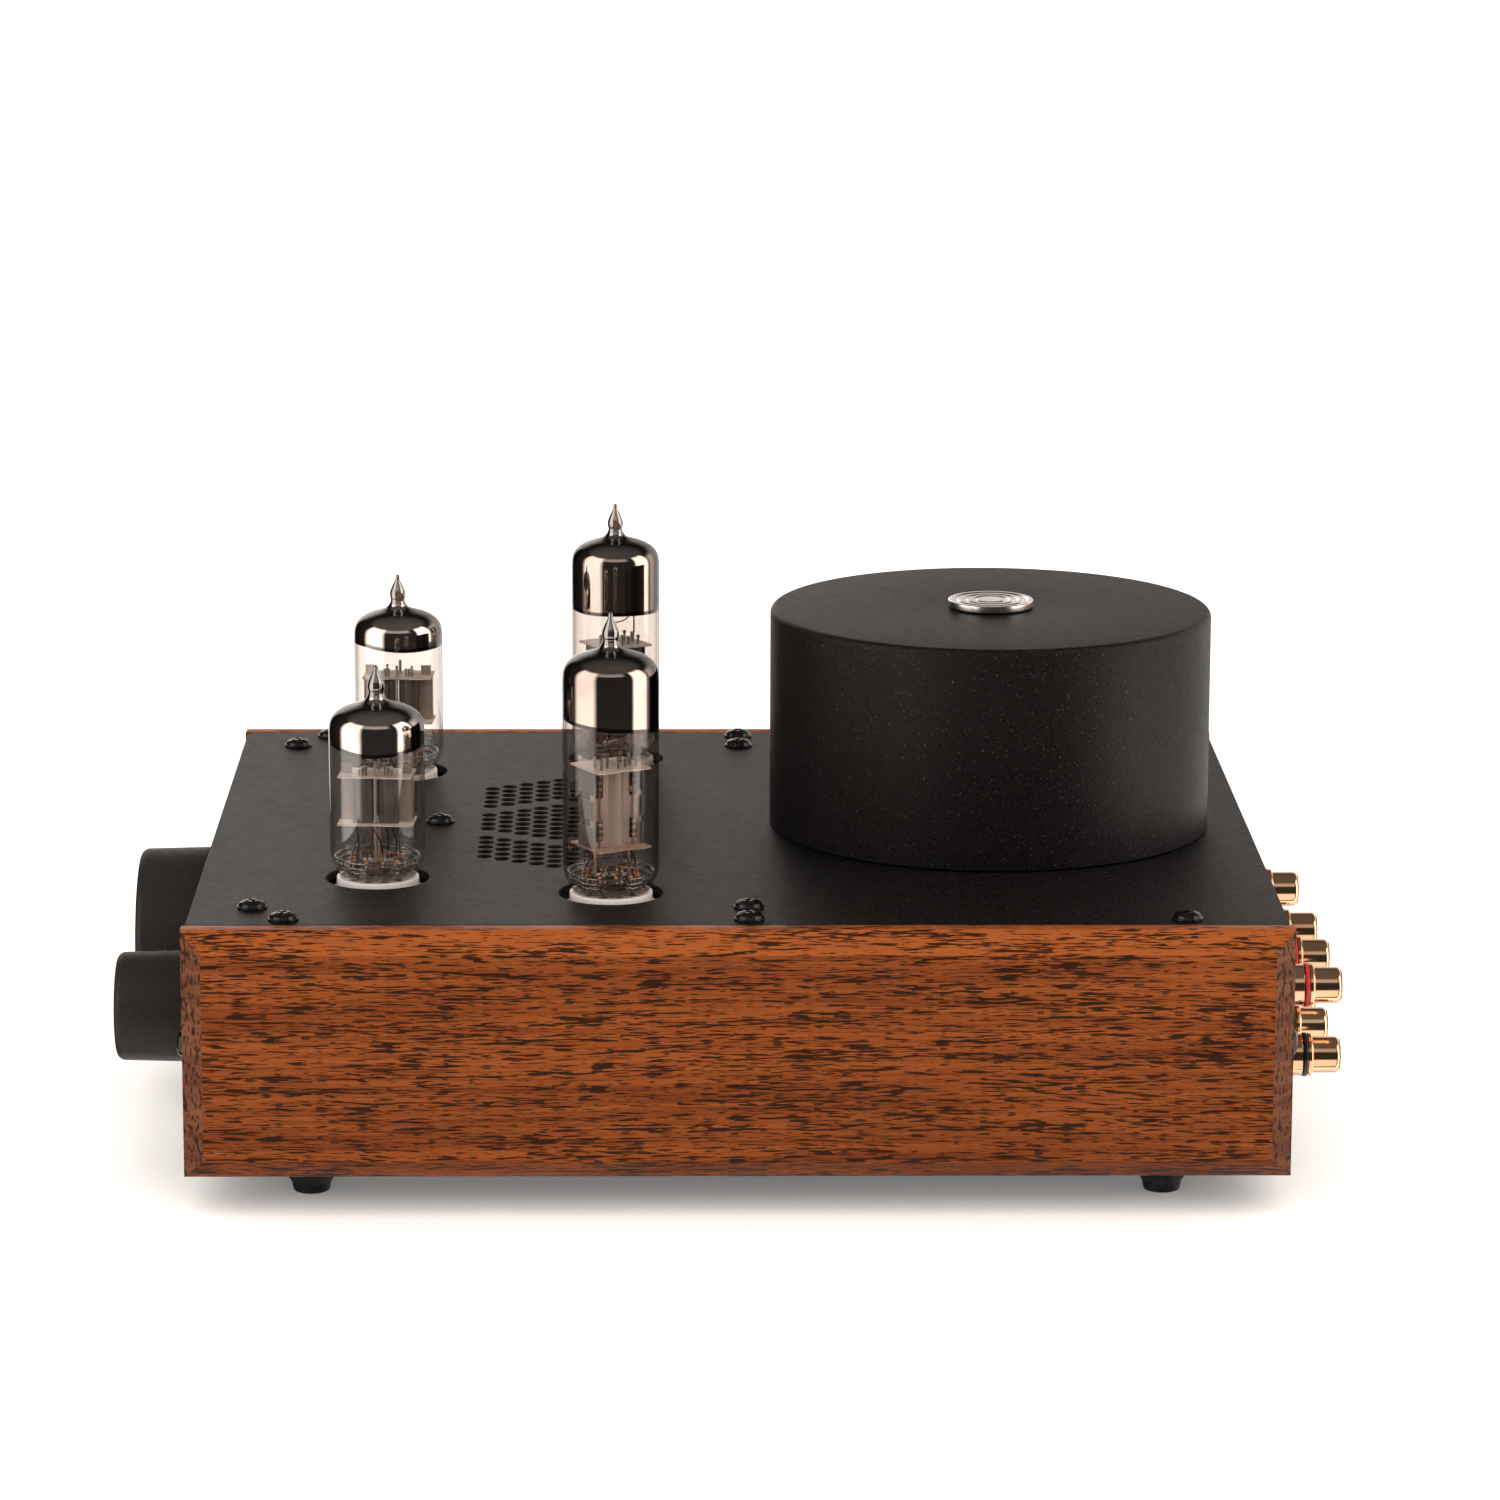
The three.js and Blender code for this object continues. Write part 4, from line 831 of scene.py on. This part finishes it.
def make_badge():
    """A turned nickel cap nut with a raised rim and three plain rings cut in its face."""
    radius, tall = round_size("cover_badge")
    shank, face = 4.4, tall - 0.06
    corners = [(shank, 0, 0), (radius - 0.1, 0, 0.1), (radius, 0.25, 0.1), (radius, tall, 0.3),
               (radius - 1.0, tall, 0.15)]
    for ring in BADGE_RINGS:
        corners += [(ring + 0.75, tall - 0.28, 0.12), (ring + 0.25, tall - 0.28, 0.1),
                    (ring, face, 0.1), (ring - 0.9, face, 0.1)]
    shape = Shape()
    profile = rounded([*corners, (0, face, 0)], 3)
    shape.turned([Vector((0, 0.9)), Vector((shank, 0.9)), *profile], "nickel", 96)
    stand_for("cover_badge", shape, under("cover_badge"), angle=28)


def make_toroid():
    radius, tall = round_size("toroidal_transformer")
    profile = rounded([(TOROID_HOLE, 0, 4), (radius, 0, 8), (radius, tall, 8), (TOROID_HOLE, tall, 4)], 6)
    shape = Shape()
    shape.turned(closed(profile), "winding", 120)
    stand_for("toroidal_transformer", shape, under("toroidal_transformer"))


# ---- Tubes ----

TUBE_HOLE_RADIUS = 11.7
GLASS_RADIUS = 10.8
GLASS_SEAT = 1.0                    # the foot of the glass above the top plate
GLASS_WALL = 0.6
DOME_START = 16.5                   # below the tip
BUTTON_TOP = 3.6
PIN_CIRCLE = 5.95
PIN_PLACES = 10
PIN_COUNT = 9
PIN_LENGTH = 7
SHEET = 0.3                         # thickness of the anodes' metal


def glass_outline(tip):
    """(radius, height) points of an envelope from its foot to where its tip begins, and of the tip."""
    foot = [(8.75, GLASS_SEAT), (9.2, 1.9), (9.95, 3.3), (10.55, 4.9), (GLASS_RADIUS, 6.8)]
    dome = [(GLASS_RADIUS, tip - DOME_START), (GLASS_RADIUS, tip - 14.4), (10.55, tip - 12.4),
            (9.3, tip - 10.7), (7.0, tip - 9.4), (4.3, tip - 8.7), (2.5, tip - 8.1), (2.0, tip - 7.1)]
    nipple = [(2.0, tip - 7.1), (1.7, tip - 6.3), (1.9, tip - 5.3), (1.85, tip - 4.2), (1.35, tip - 2.9),
              (0.8, tip - 1.8), (0.5, tip - 1.0), (0.54, tip - 0.5), (0.3, tip - 0.1)]
    return [*through(foot), *rounded_through(dome)], [*through(nipple, 4), Vector((0, tip))]


def inset(outline, wall):
    """The outline moved inward, at right angles to itself."""
    moved = []
    for i, point in enumerate(outline):
        along = outline[min(i + 1, len(outline) - 1)] - outline[max(i - 1, 0)]
        inward = Vector((-along.y, along.x)).normalized()
        moved.append(point + inward * wall)
    return [point for point in moved if point.x > 0.1]


def add_envelope(shape, tip, glass):
    """The glass wall, inside and out, with a solid drawn-out tip."""
    outer, nipple = glass_outline(tip)
    inner = inset(outer, GLASS_WALL)
    shape.turned(outer, glass, 96)
    shape.turned([*inner, Vector((0, inner[-1].y + 0.4))], "inner_glass", 96)
    shape.turned([outer[0], inner[0]], glass, 96)
    shape.turned(nipple, "tip_glass", 48)


# How far a mirror film's lower edge lies below the tip: on average, more on the right, more in front
GETTER_EDGES = {
    "driver_right": (17.9, 0.2, 1.3), "driver_left": (16.9, 0.5, 0.3),
    "power_right": (25.1, 1.2, 0.0), "power_left": (26.0, 0.2, 0.3),
}
FILM_DEPTH = 0.12
FILM_RIM = 0.9


def add_getter(shape, name, tip):
    """The mirror film under the glass of the dome, with a slanted lower edge that thins to brown."""
    average, more_right, more_front = GETTER_EDGES[name]
    outer, _ = glass_outline(tip)
    film = inset(outer, FILM_DEPTH)
    dome = [point for point in film if point.y > tip - DOME_START - 0.1]
    straight = dome[0]
    angles = turns(96)
    ends = [tip - average - more_right * math.sin(a) - more_front * max(math.cos(a), 0) ** 2
            + 0.15 * math.sin(3 * a + average) for a in angles]

    def ring(radius, heights):
        return [Vector((radius * math.cos(a), radius * math.sin(a), z)) for a, z in zip(angles, heights)]

    rows = [ring(point.x, [point.y] * len(angles)) for point in reversed(dome)]
    for share in (0.25, 0.5, 0.75, 1.0):
        rows.append(ring(straight.x, [straight.y + (end + FILM_RIM - straight.y) * share for end in ends]))
    shape.loft(rows, "getter")
    shape.loft([rows[-1], ring(straight.x, ends)], "getter_rim")


def pins():
    """Angle and place of each pin: equal steps round a circle, with one place left empty."""
    for i in range(PIN_COUNT):
        angle = math.radians(360 / PIN_PLACES * (i + 1))
        yield angle, PIN_CIRCLE * math.sin(angle), PIN_CIRCLE * math.cos(angle)


def add_button(shape):
    """The moulded glass button with its pins, a bead round each and the rim that the glass grips."""
    shape.turned(rounded([
        (0, GLASS_SEAT + 0.1, 0), (7.3, GLASS_SEAT + 0.1, 0.4), (7.7, 2.6, 0.5), (7.0, BUTTON_TOP - 0.4, 0.5),
        (4.2, BUTTON_TOP - 0.9, 0.6), (3.4, BUTTON_TOP + 0.5, 0.8), (0, BUTTON_TOP + 0.9, 0),
    ], 4), "glass_button", 60)
    for height, radius in ((2.5, 8.3), (3.7, 9.1), (5.0, 9.5)):
        ring = [(radius + 0.35 * math.cos(a), height + 0.3 * math.sin(a)) for a in turns(10)]
        shape.turned(closed(ring), "glass_button", 60)
    for _, x, y in pins():
        shape.ball((x, y, BUTTON_TOP - 0.2), 1.15, 1.3, "glass_button")
        shape.rod(x, y, GLASS_SEAT - PIN_LENGTH, BUTTON_TOP, 0.5, "wire", 12)


def add_mica(shape, height, half_width, half_depth, material):
    """A mica plate with a small notch in each long edge and rounded corners."""
    notch = 0.9
    inside = half_depth - notch / 2
    edge = [(half_depth, -half_width, 0.5), (half_depth, -notch - 1, 0.2), (inside, -notch, 0.2),
            (inside, notch, 0.2), (half_depth, notch + 1, 0.2), (half_depth, half_width, 0.5)]
    corners = edge + [(-x, -y, radius) for x, y, radius in edge]
    shape.prism(rounded(corners, 3), height - 0.2, height + 0.2, material, 0.06)


def add_leads(shape, low, spread):
    """Bent leads from the pins' tops to the lower mica, each with a bead where it leaves the glass."""
    for i, (angle, x, y) in enumerate(pins()):
        reach = spread * (0.62 + 0.3 * math.sin(2.4 * i))
        lift = BUTTON_TOP + 2.0 + 0.9 * math.sin(1.7 * i)
        swing = angle + 0.35 * math.sin(1.3 * i + 0.4)
        bend = Vector((x * (0.9 + 0.12 * math.sin(3.1 * i)), y * 0.95, lift))
        end = Vector((reach * math.sin(swing), reach * math.cos(swing), low - 0.1))
        middle = Vector((*(bend + end).xy / 2, (lift + low) / 2)) + Vector((0, 0.5, 0))
        shape.wire([(x, y, BUTTON_TOP - 0.6), (x, y, BUTTON_TOP + 0.9), bend], 0.27, "copper")
        shape.wire([bend, middle, end], 0.17, "lead")
        shape.ball((x, y, BUTTON_TOP + 0.6), 0.6, 0.7, "bead", 14)


def add_posts(shape, places, low, high, radius=0.3):
    """Short welded rod ends standing on a mica, each with a pale head."""
    for i, (x, y) in enumerate(places):
        top = high - 0.35 * (i % 3)
        shape.rod(x, y, low, top, radius, "wire")
        shape.ball((x, y, top), radius * 1.7, radius * 1.5, "wire", 12)


def add_cathode(shape, radius, low, high, y=0):
    outline = [(0, low, 0), (radius, low, 0.2), (radius, high, 0.2), (0, high, 0)]
    shape.turned(rounded(outline), "white_plastic", 20, (0, y, 0))


def power_cage(shape):
    """One wide anode with a round middle, windowed wings and flanges across its ends."""
    low, high = 11.0, 29.0
    half_width, half_depth, rib = 6.5, 2.3, 3.0
    window_low, window_high = 3.3, 5.3
    rib_half = rib * math.cos(math.asin(half_depth / rib))
    mica_half = 6.75
    strips = [(rib_half - 0.1, window_low, low, high), (window_high, half_width, low, high)]
    for bottom, top in ((low, low + 1.6), (low + 6.2, high - 6.6), (high - 1.4, high)):
        strips.append((window_low - 0.05, window_high + 0.05, bottom, top))
    arc = [math.radians(a) for a in range(-40, 41, 8)]
    for face in (-1, 1):
        outer = [(face * rib * math.cos(a), rib * math.sin(a)) for a in arc]
        inner = [(face * (rib - SHEET) * math.cos(a), (rib - SHEET) * math.sin(a)) for a in reversed(arc)]
        shape.prism(outer + inner, low, high, "electrode")
        for side in (-1, 1):
            for inside, outside, bottom, top in strips:
                shape.block((face * half_depth, side * inside, bottom),
                            (face * (half_depth - SHEET), side * outside, top), "electrode", 0.06)
    for side in (-1, 1):
        for bottom, top in ((low, low + 5.2), (low + 6.6, high - 6.9), (high - 5.5, high)):
            shape.block((-3.3, side * half_width, bottom), (3.3, side * (half_width - SHEET), top),
                        "dark_electrode", 0.06)
        y = side * 4.3
        shape.rod(0.4, y, BUTTON_TOP + 0.6, high + 2.6, 0.36, "electrode", 12)
        shape.rod(half_depth + 0.35, y, low, high, 0.2, "copper")
        for step in range(3):
            for height in (low + 2.4 + 1.5 * step, high - 1.6 - 1.4 * step):
                shape.ball((half_depth + 0.4, y, height), 0.5, 0.5, "wire", 12)
    add_cathode(shape, 1.0, low - 0.8, high + 1.2)
    add_mica(shape, low, mica_half, mica_half, "mica_amber")
    add_mica(shape, high, mica_half, mica_half, "mica")
    posts = [(3.9, -4.6), (2.6, -2.4), (-1.4, -3.4), (3.9, -0.3), (-2.4, 0.4), (2.9, 2.0), (-1.2, 3.2),
             (4.2, 4.0)]
    add_posts(shape, posts, high, high + 2.4)
    shape.wire([(2.2, 3.6, high), (2.6, 3.7, high + 3), (3.0, 3.5, high + 7.2)], 0.22, "wire")
    shape.wire([(2.6, -1.6, high + 5.8), (3.0, 0.6, high + 6.2), (2.4, 2.8, high + 7.2)], 0.16, "wire")
    add_leads(shape, low, 7.0)


def driver_cage(shape):
    """Two dark box anodes side by side with tan outer wings, between pale micas."""
    low, high = 13.0, 24.0
    inner, outer, depth = 0.8, 5.1, 3.1
    wing = 8.3
    for side in (-1, 1):
        near, far = side * inner, side * outer
        middle = (near + far) / 2
        for face in (-1, 1):
            shape.block((face * depth, near, low), (face * (depth - SHEET), far, high),
                        "dark_electrode", 0.06)
            bulge = rounded([(face * depth, middle - 1.2, 0), (face * (depth + 0.5), middle - 0.7, 0.3),
                             (face * (depth + 0.5), middle + 0.7, 0.3), (face * depth, middle + 1.2, 0)], 3)
            shape.prism(bulge, low + 0.3, high - 0.3, "dark_electrode")
        for wall in (near, far - side * SHEET):
            shape.block((-depth + SHEET, wall, low), (depth - SHEET, wall + side * SHEET, high),
                        "dark_electrode", 0.04)
        shape.block((0.9, far, low + 0.6), (1.2, side * wing, high - 0.4), "tan_electrode", 0.06)
        shape.block((-1.8, side * (wing - SHEET), low + 0.6), (1.2, side * wing, high - 0.4),
                    "tan_electrode", 0.06)
        add_cathode(shape, 0.8, low - 0.8, high + 1.6, middle)
        shape.rod(side * (depth + 0.5), 0, BUTTON_TOP + 0.6, high + 3.0, 0.36, "tan_electrode", 12)
        shape.block((0.2, side * 5.6, high + 0.2), (0.45, side * 8.0, high + 2.6), "tan_electrode", 0.04)
    add_mica(shape, low, 8.6, 5.0, "mica")
    add_mica(shape, high, 8.4, 5.0, "mica")
    posts = [(2.6, side * y) for side in (-1, 1) for y in (2.1, 2.9, 3.7)] + [(-2.4, -3), (-2.4, 3)]
    add_posts(shape, posts, high, high + 1.9, 0.2)
    add_leads(shape, low, 8.0)


# For each kind: its electrodes, how far they are turned about the axis, and its glass
TUBE_KINDS = {"power": (power_cage, 30, "tube_glass"), "driver": (driver_cage, -4, "driver_glass")}


def make_tube(kind, side):
    name = f"{kind}_{side}"
    cage_of, turn, glass = TUBE_KINDS[kind]
    tip = (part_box(f"glass_{name}")[1].z - PLATE_TOP) / MM
    straight = on_plate(f"glass_{name}")

    envelope = Shape()
    add_envelope(envelope, tip, glass)
    stand_for(f"glass_{name}", envelope, straight, angle=60)

    film = Shape()
    add_getter(film, name, tip)
    add_piece(f"getter_{name}", film.to_mesh(f"getter_{name}", straight, 60), f"tube_{name}", "getter")

    base = Shape()
    add_button(base)
    stand_for(f"pin_base_{name}", base, straight)

    cage = Shape()
    cage_of(cage)
    stand_for(f"electrodes_{name}", cage, on_plate(f"glass_{name}", turn))


def make_sockets():
    """White ceramic sockets with a pin well for each pin."""
    body = Shape()
    rim, low, shelf = 9.3, -11.7, -2.3
    body.turned(rounded([
        (0, low, 0), (10.5, low, 0.6), (10.5, shelf, 0.5), (rim, shelf, 0), (rim, 0.5, 0.35),
        (8.3, 0.5, 0.2), (8.1, 0.1, 0.1), (2.6, 0.1, 0.1), (2.4, 0.5, 0.2), (0, 0.5, 0),
    ], 4), "ceramic", 72)
    wells = Shape()
    for _, x, y in pins():
        wells.turned([(0, -7), (0.95, -7), (0.95, 1), (0, 1)], "zinc", 16, (x, y, 0))
    template = carved(body.to_mesh("socket", Matrix()), wells.to_mesh("wells", Matrix()))
    for kind, side in TUBES:
        node = f"socket_{kind}_{side}"
        mesh = template.copy()
        mesh.transform(on_plate(node))
        add_piece(f"{node}_fine", mesh, BODY_OF[node], SLOT_OF[node], node)
    bpy.data.meshes.remove(template)


# ---- Front controls ----

def make_knob(node):
    """A turned knob with a softly rounded face, a recess over its nut and a pointer groove."""
    low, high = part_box(node)
    radius, _ = round_size(node)
    back, face = (FRONT_FACE - high.y) / MM, (FRONT_FACE - low.y) / MM
    shape = Shape()
    shape.turned(rounded([
        (0, back + 11.5, 0), (3.3, back + 11.5, 0.1), (3.3, 3.5, 0), (8.4, 3.5, 0.2), (8.4, back, 0.3),
        (radius, back, 0.5), (radius - 0.4, face, 1.9), (radius - 3.2, face - 0.02, 0.4), (0, face - 0.08, 0),
    ], 6), "knob_black", 128)
    groove = Shape()
    top = radius - 2.9
    groove.block((-0.5, top - 6, face - 0.6), (0.5, top, face + 1), "ceramic")
    where = on_panel(node)
    mesh = carved(shape.to_mesh(f"{node}_fine", where), groove.to_mesh("groove", where))
    add_piece(f"{node}_fine", mesh, BODY_OF[node], SLOT_OF[node], node)


def make_headphone_jack():
    """A threaded collar with a lead-in round its bore, a twelve-sided nut, and a body behind the panel."""
    node = "headphone_jack"
    bore, thread, back = 3.35, 6, -24
    reach = (FRONT_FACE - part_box(node)[0].y) / MM
    where = on_panel(node)
    nut, hole, shape = Shape(), Shape(), Shape()
    nut.prism([(8.4 * math.cos(a), 8.4 * math.sin(a)) for a in turns(12)], 0.3, 2.2, "black_plastic", 0.25)
    hole.turned([(0, 0), (thread + 0.05, 0), (thread + 0.05, 3), (0, 3)], "black_plastic", 48)
    add_piece("headphone_nut", carved(nut.to_mesh("headphone_nut", where), hole.to_mesh("hole", where)),
              "chassis", "black_plastic")
    shape.turned(closed(rounded([
        (bore, back, 0), (thread, back, 0), (thread, reach, 1.0), (4.3, reach, 0.2), (3.9, reach - 0.5, 0.2),
        (bore, reach - 0.6, 0.1),
    ])), "black_plastic", 64)
    shape.block((-8, -10, -31), (8, 10, back - 0.1), "black_plastic", 0.4)
    stand_for(node, shape, where)


def make_power_lamp():
    """A domed lens in a thin flange."""
    shape = Shape()
    shape.turned(rounded([
        (0, -6, 0), (2.5, -6, 0.3), (2.5, 0.3, 0), (3.1, 0.3, 0.1), (3.1, 0.9, 0.2), (2.5, 0.9, 0.1),
        (2.5, 2.6, 1.6), (0, 2.6, 0),
    ]), "lamp_lens", 48)
    stand_for("power_lamp", shape, on_panel("power_lamp"))


# ---- Rear connectors ----

def make_phono(column, row):
    """A gold phono socket: flange, colour ring, shoulder and barrel round an insulator."""
    node = f"phono_{column}_{row}"
    reach = (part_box(node)[1].y - REAR_FACE) / MM
    recess, mouth = reach - 7, 3.35
    shape = Shape()
    shape.turned(rounded([
        (0, -14, 0), (3.5, -14, 0.3), (3.5, 0.2, 0), (4.65, 0.2, 0.2), (4.75, 4.9, 0.25), (4.3, 5.1, 0),
        (4.3, 6.1, 0), (4.85, 6.15, 0.2), (4.85, 7.0, 0.3), (4.1, 7.25, 0.1), (4.1, reach, 1.1),
        (mouth, reach, 0.25), (mouth, recess, 0), (0, recess, 0),
    ], 4), "gold", 56)
    ring = rounded([(4.25, 5.05, 0), (4.95, 5.05, 0.2), (4.95, 6.0, 0.2), (4.25, 6.0, 0)], 3)
    shape.turned(closed(ring), "ring_red" if row == "upper" else "ring_black", 56)
    low, high, outer = recess + 0.5, reach - 0.6, mouth - 0.05
    insulator = rounded([(1.7, low, 0), (outer, low, 0), (outer, high, 0.2), (1.7, high, 0.2)], 3)
    shape.turned(closed(insulator), "white_plastic", 40)
    stand_for(node, shape, on_panel(node, REAR_FACE, REARWARD))


# ---- Everything ----

SOFTENED = {
    "right_side_panel": 0.45, "left_side_panel": 0.45, "front_panel": 0.25, "rear_panel": 0.25,
    "bottom_plate": 0.2, "mains_inlet": 0.25, "fuse_drawer": 0.3, "power_rocker": 0.35,
}


def cover_plain_nodes():
    """Gives each CAD node that is still shown the material of its slot."""
    for node, piece in frame["nodes"].items():
        if piece.hide_render:
            continue
        if not piece.data.materials:
            piece.data.materials.append(None)
        for slot in piece.material_slots:
            slot.link = "OBJECT"
            slot.material = MATERIALS[SLOT_OF[node]]


make_camera()
make_world()
make_floor()
for node, width in SOFTENED.items():
    soften(node, width)
make_top_plate()
for end in ("front", "rear"):
    for side in ("left", "right"):
        make_foot(f"foot_{end}_{side}")
make_screws()
make_cover()
make_badge()
make_toroid()
for kind, side in TUBES:
    make_tube(kind, side)
make_sockets()
make_knob("volume_knob")
make_knob("selector_knob")
make_headphone_jack()
make_power_lamp()
for column in ("input_1", "input_2", "input_3", "output"):
    for row in ("upper", "lower"):
        make_phono(column, row)
cover_plain_nodes()

bpy.context.scene.view_settings.view_transform = "Standard"
bpy.context.scene.cycles.transparent_max_bounces = 32
